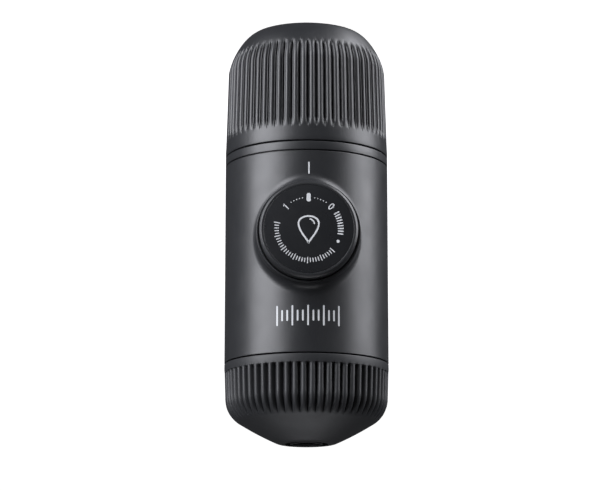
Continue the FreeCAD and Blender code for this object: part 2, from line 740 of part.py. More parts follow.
def group_gasket():
    """Ring between the neck's end and the basket's rim."""
    outer = GROUP_NECK_R - NECK_CHAMFER - GROUP_GASKET_INSET
    return ring_z(outer, SCREEN_R + GROUP_GASKET_INSET, GROUP_NECK_TOP, BASKET_TOP)


# ---------------------------------------------------------------- basket, portafilter and outlet


def filter_basket():
    """Pressed cup with a flat rim and a perforated bottom."""
    inner_r = BASKET_R - BASKET_SHEET
    cup = turned(
        (0, BASKET_BOTTOM - BASKET_SHEET), (inner_r, BASKET_BOTTOM - BASKET_SHEET), (inner_r, BASKET_TOP),
        (BASKET_R + BASKET_FLANGE, BASKET_TOP), (BASKET_R + BASKET_FLANGE, LEDGE),
        (BASKET_R, LEDGE), (BASKET_R, BASKET_BOTTOM), (0, BASKET_BOTTOM),
    )
    return perforated(cup, SCREEN_HOLE_STEP, SCREEN_HOLE_RINGS, SCREEN_HOLE_R)


def head_shape():
    """Rounding centre and the angle where the portafilter's cone leaves the rounding."""
    wall_r = BODY_R - HEAD_TAPER
    centre_r = wall_r - HEAD_ROUNDING
    centre_z = HEAD_BASE + HEAD_STRAIGHT
    reach = math.hypot(TIP_R - centre_r, HEAD_TIP - centre_z)
    bearing = math.atan2(HEAD_TIP - centre_z, TIP_R - centre_r)
    return wall_r, centre_r, centre_z, bearing - math.acos(HEAD_ROUNDING / reach)


def head_flute():
    """Cutter of one portafilter groove: a short start by the mouth, fading over the rounding."""
    wall_r, centre_r, centre_z, _ = head_shape()
    start = HEAD_BASE + HEAD_FLUTE_MARGIN
    full = start + HEAD_FLUTE_RUNOUT
    knee = HEAD_BASE + HEAD_FLUTE_KNEE
    end = HEAD_BASE + HEAD_FLUTE_END
    floor_r = wall_r - FLUTE_DEPTH
    end_r = centre_r + HEAD_ROUNDING * math.cos(math.asin(min(1.0, (end - centre_z) / HEAD_ROUNDING)))
    reach = 1 + GROOVE_PAST
    path = (
        (floor_r + reach * (BODY_R - floor_r), full - reach * HEAD_FLUTE_RUNOUT),
        (floor_r, full),
        (floor_r, knee),
        (floor_r - reach * (floor_r - end_r), knee + reach * (end - knee)),
    )
    return groove_cutter(path)


def head_inside():
    """Space inside the portafilter: socket of the neck, basket well and funnel."""
    well_r = BASKET_R + MOVING_GAP
    _, _, _, slope = head_shape()
    fall = 1 / math.tan(slope)
    well_top = BASKET_BOTTOM + MOVING_GAP
    funnel_top = HEAD_TIP - HEAD_WALL - NOZZLE_COLLAR
    funnel_r = NOZZLE_STEM_R + SEAT_GAP
    return turned(
        (0, HEAD_BASE), (HEAD_BORE_R, HEAD_BASE), (HEAD_BORE_R, LEDGE), (well_r, LEDGE), (well_r, well_top),
        (well_r - FUNNEL_SHELF, well_top + FUNNEL_SHELF * fall), (funnel_r, funnel_top),
        (funnel_r, HEAD_TIP), (0, HEAD_TIP),
    )


def portafilter():
    """Fluted holder with a cone end, which screws on the group head's neck."""
    wall_r, centre_r, centre_z, slope = head_shape()

    def on_rounding(turn):
        return V(centre_r + HEAD_ROUNDING * math.cos(turn), 0, centre_z + HEAD_ROUNDING * math.sin(turn))

    def bend(corner, first, last):
        """Smooth curve that turns a corner between two points."""
        curve = Part.BezierCurve()
        curve.setPoles([first, corner, last])
        return curve.toShape()

    leave = on_rounding(slope)
    corner = V(wall_r, 0, centre_z + HEAD_ROUNDING * math.tan(slope / 2))
    tip_cut = TIP_EDGE_R * math.tan((math.pi / 2 - slope) / 2)
    tip_first = V(TIP_R + tip_cut * math.sin(slope), 0, HEAD_TIP - tip_cut * math.cos(slope))
    tip_last = V(TIP_R - tip_cut, 0, HEAD_TIP)
    form = revolved(
        [bend(corner, V(wall_r, 0, centre_z), leave), bend(V(TIP_R, 0, HEAD_TIP), tip_first, tip_last)]
        + outline((leave.x, leave.z), (tip_first.x, tip_first.z))
        + outline((tip_last.x, HEAD_TIP), (0, HEAD_TIP), (0, HEAD_BASE), (BODY_R, HEAD_BASE),
                  (wall_r, centre_z))
    )
    cuts = copies_round(head_flute(), FLUTE_COUNT, start=-90)
    notches = [along_z(NOTCH_R, HEAD_TIP - NOTCH_DEPTH, HEAD_TIP, x) for x in (-NOTCH_REACH, NOTCH_REACH)]
    nozzle_seat = along_z(NOZZLE_R + SEAT_GAP, HEAD_TIP - NOZZLE_COLLAR, HEAD_TIP)
    return form.cut(cuts).cut(notches + [nozzle_seat, head_inside()])


def outlet_nozzle():
    """Flanged spout pressed in the cone's tip."""
    low = HEAD_TIP - NOZZLE_COLLAR - HEAD_WALL
    seat = HEAD_TIP - NOZZLE_COLLAR
    flange = seat + NOZZLE_SEAL
    top = HEAD_TIP - NOZZLE_SINK
    return turned(
        (NOZZLE_THROAT_R, low), (NOZZLE_STEM_R, low), (NOZZLE_STEM_R, flange), (NOZZLE_R, flange),
        (NOZZLE_R, top), (NOZZLE_BORE_R, top), (NOZZLE_BORE_R, seat),
        (NOZZLE_THROAT_R, seat - NOZZLE_FUNNEL),
    )


def nozzle_seal():
    """Flat seal under the nozzle's flange."""
    seat = HEAD_TIP - NOZZLE_COLLAR
    return ring_z(NOZZLE_R, NOZZLE_STEM_R + SEAT_GAP, seat, seat + NOZZLE_SEAL)


# ---------------------------------------------------------------- export

PIECES = {
    "water_tank": water_tank,
    "tank_gasket": tank_gasket,
    "tank_neck": tank_neck,
    "neck_screws": neck_screws,
    "inlet_strainer": inlet_strainer,
    "body_shell": body_shell,
    "turning_ring": turning_ring,
    "piston_cap": piston_cap,
    "face_disc": face_disc,
    "cap_screw": cap_screw,
    "plunger": plunger,
    "plunger_seal": plunger_seal,
    "return_spring": return_spring,
    "pump_block": pump_block,
    "piston_guide": piston_guide,
    "cylinder_liner": cylinder_liner,
    "gland_nut": gland_nut,
    "end_plug": end_plug,
    "plug_seal": plug_seal,
    "tie_screws": tie_screws,
    "inlet_seat": lambda: valve_seat(CASING_BASE),
    "inlet_poppet": lambda: valve_poppet(CASING_BASE),
    "inlet_spring": inlet_spring,
    "outlet_seat": lambda: valve_seat(OUTLET_CAGE_BASE),
    "outlet_poppet": lambda: valve_poppet(OUTLET_CAGE_BASE),
    "outlet_spring": outlet_spring,
    "riser_tube": riser_tube,
    "riser_seal": riser_seal,
    "group_head": group_head,
    "shower_screen": shower_screen,
    "screen_screw": screen_screw,
    "group_gasket": group_gasket,
    "filter_basket": filter_basket,
    "portafilter": portafilter,
    "outlet_nozzle": outlet_nozzle,
    "nozzle_seal": nozzle_seal,
}


def main():
    """Write one STEP file per piece."""
    os.makedirs("parts", exist_ok=True)
    for name, make in PIECES.items():
        shape = make()
        shape.exportStep("parts/" + name + ".step")
        print(name, "solids", len(shape.Solids), "valid", shape.isValid(), "volume", round(shape.Volume, 1))


main()
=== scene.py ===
"""Looks of a handheld pump espresso maker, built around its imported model.

Sizes in the classes are millimetres. The meshes are made in millimetres and brought to metres when a
piece is finished. +Z runs from the water tank's flat end to the outlet, and the thumb piston looks
along -Y.
"""

from __future__ import annotations

import logging
import math
from abc import ABC, abstractmethod
from contextlib import contextmanager
from dataclasses import dataclass
from enum import Enum
from typing import Iterator, Sequence

import bpy
from mathutils import Matrix, Vector

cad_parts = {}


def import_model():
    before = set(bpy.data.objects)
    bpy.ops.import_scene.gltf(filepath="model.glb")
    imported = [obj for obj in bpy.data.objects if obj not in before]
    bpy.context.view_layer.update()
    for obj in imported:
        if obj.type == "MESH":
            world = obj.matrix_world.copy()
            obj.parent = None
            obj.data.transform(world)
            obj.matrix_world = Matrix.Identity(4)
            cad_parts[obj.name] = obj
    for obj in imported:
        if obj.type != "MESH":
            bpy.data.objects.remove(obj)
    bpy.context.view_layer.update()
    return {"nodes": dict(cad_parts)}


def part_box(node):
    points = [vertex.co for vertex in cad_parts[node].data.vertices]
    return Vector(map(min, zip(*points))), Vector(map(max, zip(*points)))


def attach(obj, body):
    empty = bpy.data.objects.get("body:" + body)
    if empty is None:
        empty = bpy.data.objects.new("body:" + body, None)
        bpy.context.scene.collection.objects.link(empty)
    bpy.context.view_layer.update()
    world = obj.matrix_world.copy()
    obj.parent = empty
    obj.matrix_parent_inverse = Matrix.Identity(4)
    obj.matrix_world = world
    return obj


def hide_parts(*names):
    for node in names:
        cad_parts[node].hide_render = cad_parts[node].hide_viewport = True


LOG = logging.getLogger("espresso_maker")
MM = 0.001
FULL_TURN = 2 * math.pi
MERGE_DISTANCE = 0.0005     # millimetres
SHELL_SMOOTH = 40.0         # degrees
WHITE = "#ffffff"
Point = tuple[float, float]
Place = tuple[float, float, float]
Ring = list[Place]
Piece = bpy.types.Object
Tree = bpy.types.NodeTree
Socket = bpy.types.NodeSocket


class Body(Enum):
    """Bodies that pieces ride on."""

    HOUSING = "housing"
    PISTON = "piston"
    TANK = "tank"
    TANK_SEAL = "tank_seal"
    PORTAFILTER = "portafilter"


class Slot(Enum):
    """Material slots of the record."""

    SHELL = "shell_plastic"
    DISC = "disc_plastic"
    INNER = "inner_plastic"
    RUBBER = "seal_rubber"


# ---- materials


def linear(hex_colour: str) -> tuple[float, float, float, float]:
    """Turn an sRGB hex colour to linear values.

    Args:
        hex_colour: Six hex digits after a hash sign.

    Returns:
        Linear red, green and blue, and an alpha of one.
    """
    channels = [int(hex_colour[i:i + 2], 16) / 255 for i in (1, 3, 5)]
    bent = [c / 12.92 if c <= 0.04045 else ((c + 0.055) / 1.055) ** 2.4 for c in channels]
    return bent[0], bent[1], bent[2], 1.0


def per_mm(size_mm: float) -> float:
    """Scale of a pattern in object coordinates whose features are size_mm across."""
    return 1 / (size_mm * MM)


def add_node(tree: Tree, kind: str, inputs: dict | None = None,
             **settings: str) -> bpy.types.Node:
    """Add a node with its settings, values and links.

    Args:
        tree: Node tree of a material or the world.
        kind: Name of the node's type, without the word ShaderNode.
        inputs: Values or output sockets by the name or place of the input.
        **settings: Attributes of the node.

    Returns:
        The new node.
    """
    node = tree.nodes.new(f"ShaderNode{kind}")
    for key, value in settings.items():
        setattr(node, key, value)
    for key, value in (inputs or {}).items():
        if isinstance(value, Socket):
            tree.links.new(value, node.inputs[key])
        else:
            node.inputs[key].default_value = value
    return node


def fresh_tree(owner: bpy.types.Material | bpy.types.World) -> Tree:
    """Give a material or a world an empty node tree."""
    owner.use_nodes = True
    owner.node_tree.nodes.clear()
    return owner.node_tree


class Finish(ABC):
    """What a surface is made of and how it was made."""

    name: str

    @abstractmethod
    def surface(self, tree: Tree, place: Socket) -> dict:
        """Add the nodes of the surface's patterns.

        Args:
            tree: Node tree of the material.
            place: Object coordinates.

        Returns:
            Inputs of the shader by name.
        """

    def material(self) -> bpy.types.Material:
        """Build the material.

        Returns:
            The material.
        """
        material = bpy.data.materials.new(self.name)
        tree = fresh_tree(material)
        place = add_node(tree, "TexCoord").outputs["Object"]
        shader = add_node(tree, "BsdfPrincipled", self.surface(tree, place))
        add_node(tree, "OutputMaterial", {"Surface": shader.outputs["BSDF"]})
        return material


@dataclass(frozen=True)
class MouldedPlastic(Finish):
    """Injection-moulded plastic: a fine spark-eroded grain gives it a soft satin sheen.

    Faint changes of tone come from the flow of the melt, and hands have polished it in places.
    """

    name: str
    colour: str
    worn_colour: str
    roughness: float
    roughness_spread: float = 0.04
    specular: float = 0.5
    ior: float = 1.49
    grain_mm: float = 0.35      # real grain is near 0.1; drawn coarser so that it shows
    grain_depth_mm: float = 0.012
    mottle_mm: float = 9.0

    def surface(self, tree: Tree, place: Socket) -> dict:
        """Grain in the normals, and slow changes of tone and sheen."""
        grain = add_node(tree, "TexNoise", {
            "Vector": place, "Scale": per_mm(self.grain_mm), "Detail": 2.0, "Roughness": 0.6})
        mottle = add_node(tree, "TexNoise", {
            "Vector": place, "Scale": per_mm(self.mottle_mm), "Detail": 3.0, "Roughness": 0.55})
        colour = add_node(tree, "Mix", {
            "Factor": mottle.outputs["Fac"], "A": linear(self.colour),
            "B": linear(self.worn_colour)}, data_type="RGBA")
        roughness = add_node(tree, "MapRange", {
            "Value": mottle.outputs["Fac"], "From Min": 0.3, "From Max": 0.7,
            "To Min": self.roughness + self.roughness_spread,
            "To Max": self.roughness - self.roughness_spread})
        bump = add_node(tree, "Bump", {
            "Height": grain.outputs["Fac"], "Distance": self.grain_depth_mm * MM, "Strength": 1.0})
        return {"Base Color": colour.outputs["Result"], "Roughness": roughness.outputs["Result"],
                "Normal": bump.outputs["Normal"], "IOR": self.ior, "Specular IOR Level": self.specular}


@dataclass(frozen=True)
class StainlessSteel(Finish):
    """Turned or pressed stainless steel: grey metal with fine rings or scratches."""

    name: str
    colour: str = "#b9bbbd"
    roughness: float = 0.28
    roughness_spread: float = 0.08
    scratch_mm: float = 0.3     # real scratches are near 0.05; drawn coarser so that they show
    scratch_depth_mm: float = 0.004
    scratch_length: float = 9.0     # in widths

    def surface(self, tree: Tree, place: Socket) -> dict:
        """Long scratches in the normals and in the sheen."""
        along = add_node(tree, "Mapping", {
            "Vector": place, "Scale": (1.0, 1.0, self.scratch_length)})
        scratch = add_node(tree, "TexNoise", {
            "Vector": along.outputs["Vector"], "Scale": per_mm(self.scratch_mm * self.scratch_length),
            "Detail": 4.0})
        roughness = add_node(tree, "MapRange", {
            "Value": scratch.outputs["Fac"], "To Min": self.roughness - self.roughness_spread,
            "To Max": self.roughness + self.roughness_spread})
        bump = add_node(tree, "Bump", {
            "Height": scratch.outputs["Fac"], "Distance": self.scratch_depth_mm * MM, "Strength": 1.0})
        return {"Base Color": linear(self.colour), "Metallic": 1.0,
                "Roughness": roughness.outputs["Result"], "Normal": bump.outputs["Normal"]}


@dataclass(frozen=True)
class PrintInk(Finish):
    """Pad-printed ink: an even, matt film with faint pinholes that let the plastic show."""

    name: str
    colour: str
    under_colour: str = "#3a3b3e"
    roughness: float = 0.55
    ior: float = 1.5
    pinhole_mm: float = 0.25

    def surface(self, tree: Tree, place: Socket) -> dict:
        """Pinholes in the ink's colour."""
        film = add_node(tree, "TexNoise", {
            "Vector": place, "Scale": per_mm(self.pinhole_mm), "Detail": 2.0})
        cover = add_node(tree, "MapRange", {
            "Value": film.outputs["Fac"], "From Min": 0.35, "From Max": 0.75, "To Min": 1.0,
            "To Max": 0.8})
        colour = add_node(tree, "Mix", {
            "Factor": cover.outputs["Result"], "A": linear(self.under_colour),
            "B": linear(self.colour)}, data_type="RGBA")
        return {"Base Color": colour.outputs["Result"], "Roughness": self.roughness, "IOR": self.ior}


@dataclass(frozen=True)
class FloorPaper(Finish):
    """Pale paper that shows white to the camera and keeps the shadow."""

    name: str = "floor_paper"
    colour: str = "#f4f4f4"
    roughness: float = 0.9
    specular: float = 0.1

    def surface(self, tree: Tree, place: Socket) -> dict:
        """Matt paper with a white glow that only the camera sees."""
        path = add_node(tree, "LightPath")
        return {"Base Color": linear(self.colour), "Roughness": self.roughness,
                "Specular IOR Level": self.specular, "Emission Color": linear(WHITE),
                "Emission Strength": path.outputs["Is Camera Ray"]}


class Look(Enum):
    """Finishes of the pieces."""

    SHELL = MouldedPlastic("satin_abs_charcoal", "#1a1b1d", "#1f2022", 0.40)
    HEAD_SHELL = MouldedPlastic("satin_abs_graphite", "#1c1d1f", "#212224", 0.50, specular=0.4)
    DISC = MouldedPlastic("gloss_abs_black", "#17181a", "#1a1b1d", 0.30, grain_depth_mm=0.004)
    INNER = MouldedPlastic("glass_filled_nylon_grey", "#3c3d3f", "#434446", 0.55)
    NOZZLE = MouldedPlastic("acetal_black", "#101113", "#151618", 0.38)
    RUBBER = MouldedPlastic("silicone_black", "#0c0c0d", "#121213", 0.62, grain_depth_mm=0.006)
    STEEL = StainlessSteel("stainless_steel")
    INK = PrintInk("pad_print_pale_grey", "#c4c6c8")


Looks = dict[Look, bpy.types.Material]


# ---- mesh helpers


def polar(radius: float, angle: float) -> Point:
    """Both coordinates of a place on a circle."""
    return radius * math.cos(angle), radius * math.sin(angle)


def beside(radius: float, bearing: float, height: float) -> Place:
    """Place round the Z axis; the bearing runs from the piston's side, -Y, towards +X."""
    ahead, aside = polar(radius, bearing)
    return aside, -ahead, height


def between(first: float, last: float, steps: int, bend: float = 1.0) -> list[float]:
    """Values from first to last; a bend over one packs them towards first."""
    return [first + (last - first) * (i / steps) ** bend for i in range(steps + 1)]


def placed(name: str, data: bpy.types.ID) -> Piece:
    """Put new data in the scene as an object."""
    holder = bpy.data.objects.new(name, data)
    bpy.context.scene.collection.objects.link(holder)
    return holder


def select_only(piece: Piece) -> None:
    """Deselect everything and make one piece selected and active."""
    bpy.ops.object.select_all(action="DESELECT")
    piece.select_set(True)
    bpy.context.view_layer.objects.active = piece


@contextmanager
def editing(piece: Piece) -> Iterator[None]:
    """Edit mode with the whole of a piece selected."""
    select_only(piece)
    bpy.ops.object.mode_set(mode="EDIT")
    bpy.ops.mesh.select_all(action="SELECT")
    yield
    bpy.ops.object.mode_set(mode="OBJECT")


def from_points(name: str, points: Sequence[Sequence[float]], edges: Sequence[Sequence[int]],
                faces: Sequence[Sequence[int]]) -> Piece:
    """Make a mesh object from points, edges and faces.

    Args:
        name: Name of the piece.
        points: Places in millimetres.
        edges: Pairs of point numbers.
        faces: Loops of point numbers.

    Returns:
        The new object.
    """
    mesh = bpy.data.meshes.new(name)
    mesh.from_pydata(points, edges, faces)
    mesh.update()
    return placed(name, mesh)


def rounded(corners: Sequence[Place], steps: int = 4) -> list[Point]:
    """Round the corners of an open outline.

    Args:
        corners: (radius, height, rounding) of each corner.
        steps: Points on each rounding.

    Returns:
        Points of the outline.
    """
    made: list[Point] = []
    for i, (r, z, rounding) in enumerate(corners):
        here = Vector((r, z))
        if rounding <= 0 or i in (0, len(corners) - 1):
            made.append((r, z))
            continue
        before = (Vector(corners[i - 1][:2]) - here).normalized()
        after = (Vector(corners[i + 1][:2]) - here).normalized()
        half = before.angle(after) / 2
        reach = rounding / math.tan(half)
        centre = here + (before + after).normalized() * (rounding / math.sin(half))
        first = here + before * reach - centre
        last = here + after * reach - centre
        for step in range(steps + 1):
            spoke = first.slerp(last, step / steps) * rounding
            made.append((centre.x + spoke.x, centre.y + spoke.y))
    return made


def merge_and_face_out(piece: Piece) -> None:
    """Merge doubled points of a closed piece and turn its faces outwards."""
    with editing(piece):
        bpy.ops.mesh.remove_doubles(threshold=MERGE_DISTANCE)
        bpy.ops.mesh.normals_make_consistent(inside=False)


@dataclass(frozen=True)
class Patch:
    """Rows of points that faces are laid between; a row of one point is a pole."""

    rows: Sequence[Sequence[Place]]
    closed: bool = True     # whether each row runs back to its start


def woven(name: str, patches: Sequence[Patch]) -> Piece:
    """Lay faces between rows of points.

    Args:
        name: Name of the piece.
        patches: Patches; points that two of them share are merged.

    Returns:
        The piece, with its faces outwards where it is closed.
    """
    points: list[Place] = []
    faces: list[tuple[int, ...]] = []
    for patch in patches:
        numbers = []
        for row in patch.rows:
            numbers.append(range(len(points), len(points) + len(row)))
            points.extend(row)
        for lower, upper in zip(numbers, numbers[1:]):
            around = max(len(lower), len(upper))
            for i in range(around if patch.closed else around - 1):
                loop = (lower[i % len(lower)], lower[(i + 1) % len(lower)],
                        upper[(i + 1) % len(upper)], upper[i % len(upper)])
                faces.append(tuple(dict.fromkeys(loop)))
    piece = from_points(name, points, [], faces)
    merge_and_face_out(piece)
    return piece


def spun(name: str, corners: Sequence[Place], steps: int = 192) -> Piece:
    """Turn an outline about the Z axis.

    Args:
        name: Name of the piece.
        corners: (radius, height, rounding) of each corner; ends on the axis are closed to a pole.
        steps: Faces round the axis.

    Returns:
        The turned piece, with its faces outwards.
    """
    outline = rounded(corners)
    edges = [(i, i + 1) for i in range(len(outline) - 1)]
    piece = from_points(name, [(r, 0.0, z) for r, z in outline], edges, [])
    with editing(piece):
        bpy.ops.mesh.spin(steps=steps, angle=FULL_TURN, center=(0, 0, 0), axis=(0, 0, 1))
    merge_and_face_out(piece)
    return piece


def to_piston_axis(piece: Piece, height: float) -> None:
    """Turn a piece made about +Z so that it looks along -Y at a height of the body."""
    turn = Matrix.Rotation(math.pi / 2, 4, "X")
    piece.data.transform(Matrix.Translation((0, 0, height)) @ turn)


def joined(core: Piece, extra: Piece) -> Piece:
    """Join a second piece into the first."""
    select_only(core)
    extra.select_set(True)
    bpy.ops.object.join()
    return core


def finished(piece: Piece, body: Body, finish: bpy.types.Material,
             smooth_degrees: float = 35.0, stands_for: Sequence[str] = ()) -> Piece:
    """Bring a piece to metres, dress it and hang it on its body.

    Args:
        piece: Piece made in millimetres in the model's frame.
        body: Body that it rides on.
        finish: Material.
        smooth_degrees: Edges sharper than this stay crisp.
        stands_for: CAD nodes that it replaces.

    Returns:
        The piece.
    """
    piece.data.transform(Matrix.Scale(MM, 4))
    select_only(piece)
    bpy.ops.object.shade_smooth_by_angle(angle=math.radians(smooth_degrees))
    piece.data.materials.clear()
    piece.data.materials.append(finish)
    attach(piece, body.value)
    if stands_for:
        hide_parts(*stands_for)
    LOG.info("%s: %d faces on %s", piece.name, len(piece.data.polygons), body.value)
    return piece


@dataclass(frozen=True)
class Span:
    """Lowest and highest corner of a node in millimetres."""

    low: Vector
    high: Vector

    @classmethod
    def of(cls, node: str) -> "Span":
        """Read the span of a node from the frame."""
        low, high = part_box(node)
        return cls(low / MM, high / MM)


class Assembly(ABC):
    """Pieces that are built together."""

    @abstractmethod
    def build(self, looks: Looks) -> None:
        """Build the pieces, dress them and hang them on their bodies.

        Args:
            looks: Materials by finish.
        """


# ---- flutes


@dataclass(frozen=True)
class Flutes:
    """Rounded grooves round a wall: a rounded V is cut between ridges with a round back.

    Where the cutter rises out of the wall the groove narrows and ends, and the ridges go flat.
    """

    count: int = 60
    depth: float = 1.55
    side_slope: float = 4.0         # rise of the groove's side per millimetre across
    floor_round: float = 0.5
    crown_r: float = 1.1            # radius of the ridge's back
    crown_half: float = 1.02        # half the width of the ridge's back
    edge_blend: float = 0.3         # depth over which the back rolls over into the groove's side
    front: float = -math.pi / 2     # angle of the first groove's middle
    shares: tuple[float, ...] = (0.0, 0.06, 0.12, 0.18, 0.24, 0.3, 0.37, 0.46, 0.57, 0.7, 0.84, 1.0)

    def columns(self, radius: float) -> list[tuple[float, float, float]]:
        """Columns across one groove, from the middle of a ridge to the middle of the next.

        Args:
            radius: Radius at which widths are measured.

        Returns:
            (angle, rise of the cutter's side, fall of the ridge's back) of each column.
        """
        half = math.pi / self.count
        made = []
        for share in [-s for s in reversed(self.shares[1:])] + list(self.shares):
            across = abs(share) * half * radius
            rise = math.hypot(across * self.side_slope, self.floor_round) - self.floor_round
            off_crown = min(half * radius - across, self.crown_half)
            fall = self.crown_r - math.sqrt(self.crown_r ** 2 - off_crown ** 2)
            made.append((self.front + share * half, rise, fall))
        return made

    def cut(self, wall_r: float, floor_r: float, rise: float, fall: float) -> float:
        """Radius of the fluted wall.

        Args:
            wall_r: Radius of the plain wall.
            floor_r: Radius of the groove's floor.
            rise: Rise of the cutter's side over its floor.
            fall: Fall of the ridge's back at the groove's full depth.

        Returns:
            The lower of ridge and cutter, with a rounded edge between them.
        """
        ridge = wall_r - fall * min(1.0, max(0.0, (wall_r - floor_r) / self.depth))
        cutter = floor_r + rise
        overlap = max(self.edge_blend - abs(ridge - cutter), 0.0)
        return min(ridge, cutter) - overlap * overlap / (4 * self.edge_blend)


@dataclass(frozen=True)
class Row:
    """One ring of a fluted wall; with no floor the ring is plain."""

    radius: float
    height: float
    floor: float | None = None


def plain_rows(corners: Sequence[Place], steps: int = 4) -> list[Row]:
    """Plain rings along an outline of (radius, height, rounding) corners."""
    return [Row(r, z) for r, z in rounded(corners, steps)]


def fluted(name: str, rows: Sequence[Row], flutes: Flutes, radius: float) -> Piece:
    """Make one groove of a turned piece from pole to pole and copy it round the axis.

    Args:
        name: Name of the piece.
        rows: Rings from one pole to the other.
        flutes: Form of the grooves.
        radius: Radius at which widths are measured.

    Returns:
        The piece, with its faces outwards.
    """
    wedge = []
    for row in rows:
        if row.radius == 0:
            wedge.append([(0.0, 0.0, row.height)])
            continue
        places = []
        for angle, rise, fall in flutes.columns(radius):
            r = row.radius if row.floor is None else flutes.cut(row.radius, row.floor, rise, fall)
            places.append((*polar(r, angle), row.height))
        wedge.append(places)
    piece = woven(name, [Patch(wedge, closed=False)])
    share = (flutes.count - 1) / flutes.count
    with editing(piece):
        bpy.ops.mesh.spin(steps=flutes.count - 1, dupli=True, angle=FULL_TURN * share,
                          center=(0, 0, 0), axis=(0, 0, 1))
    merge_and_face_out(piece)
    return piece


class FlutedShell(Assembly):
    """Turned shell with flutes; heights run along the body."""

    @abstractmethod
    def wall_at(self, z: float) -> float:
        """Outer radius at a height."""

    @abstractmethod
    def floor_at(self, z: float) -> float | None:
        """Radius of the grooves' floor at a height, or None where there are no grooves."""

    def rings(self, heights: Sequence[float]) -> list[Row]:
        """Rings of the wall at some heights."""
        return [Row(self.wall_at(z), z, self.floor_at(z)) for z in heights]


# ---- printed marks


def edge_pair(middle: Vector, out: Vector) -> Ring:
    """Points on both edges of a line on the plane of X and Y."""
    return [(*(middle + out), 0.0), (*(middle - out), 0.0)]


@dataclass(frozen=True)
class Stroke:
    """Printed line of even width with round ends; a path of one point is a dot."""

    path: Sequence[Point]
    width: float
    closed: bool = False
    cap_steps: int = 6

    def rows(self) -> list[Ring]:
        """Pairs of points on both edges of the line, with a single point at each open end."""
        path = [Vector(p) for p in self.path]
        last = len(path) - 1
        half = self.width / 2
        made = []
        for i, here in enumerate(path):
            if self.closed:
                along = path[(i + 1) % (last + 1)] - path[i - 1]
            else:
                along = path[min(i + 1, last)] - path[max(i - 1, 0)]
            along = along.normalized() if along.length > 0 else Vector((1.0, 0.0))
            made.append((here, along * half, Vector((-along.y, along.x)) * half))
        body = [edge_pair(here, out) for here, _, out in made]
        if self.closed:
            return [*body, body[0]]
        turns = between(0.0, math.pi / 2, self.cap_steps)
        start, end = (
            [edge_pair(here + along * (side * math.cos(t)), out * math.sin(t)) for t in turns]
            for (here, along, out), side in ((made[0], -1), (made[-1], 1)))
        return [start[0][:1], *start[1:], *body[1:], *end[-2:0:-1], end[0][:1]]


def printed(name: str, strokes: Sequence[Stroke], thickness: float) -> Piece:
    """Make the film of ink of some strokes, lying on the plane of X and Y.

    Args:
        name: Name of the piece.
        strokes: Printed lines and dots.
        thickness: Thickness of the film.

    Returns:
        The film as closed solids.
    """
    film = woven(name, [Patch(stroke.rows(), closed=False) for stroke in strokes])
    with editing(film):
        bpy.ops.mesh.extrude_region_move(TRANSFORM_OT_translate={"value": (0, 0, thickness)})
        bpy.ops.mesh.select_all(action="SELECT")
        bpy.ops.mesh.normals_make_consistent(inside=False)
    return film


# ---- water tank


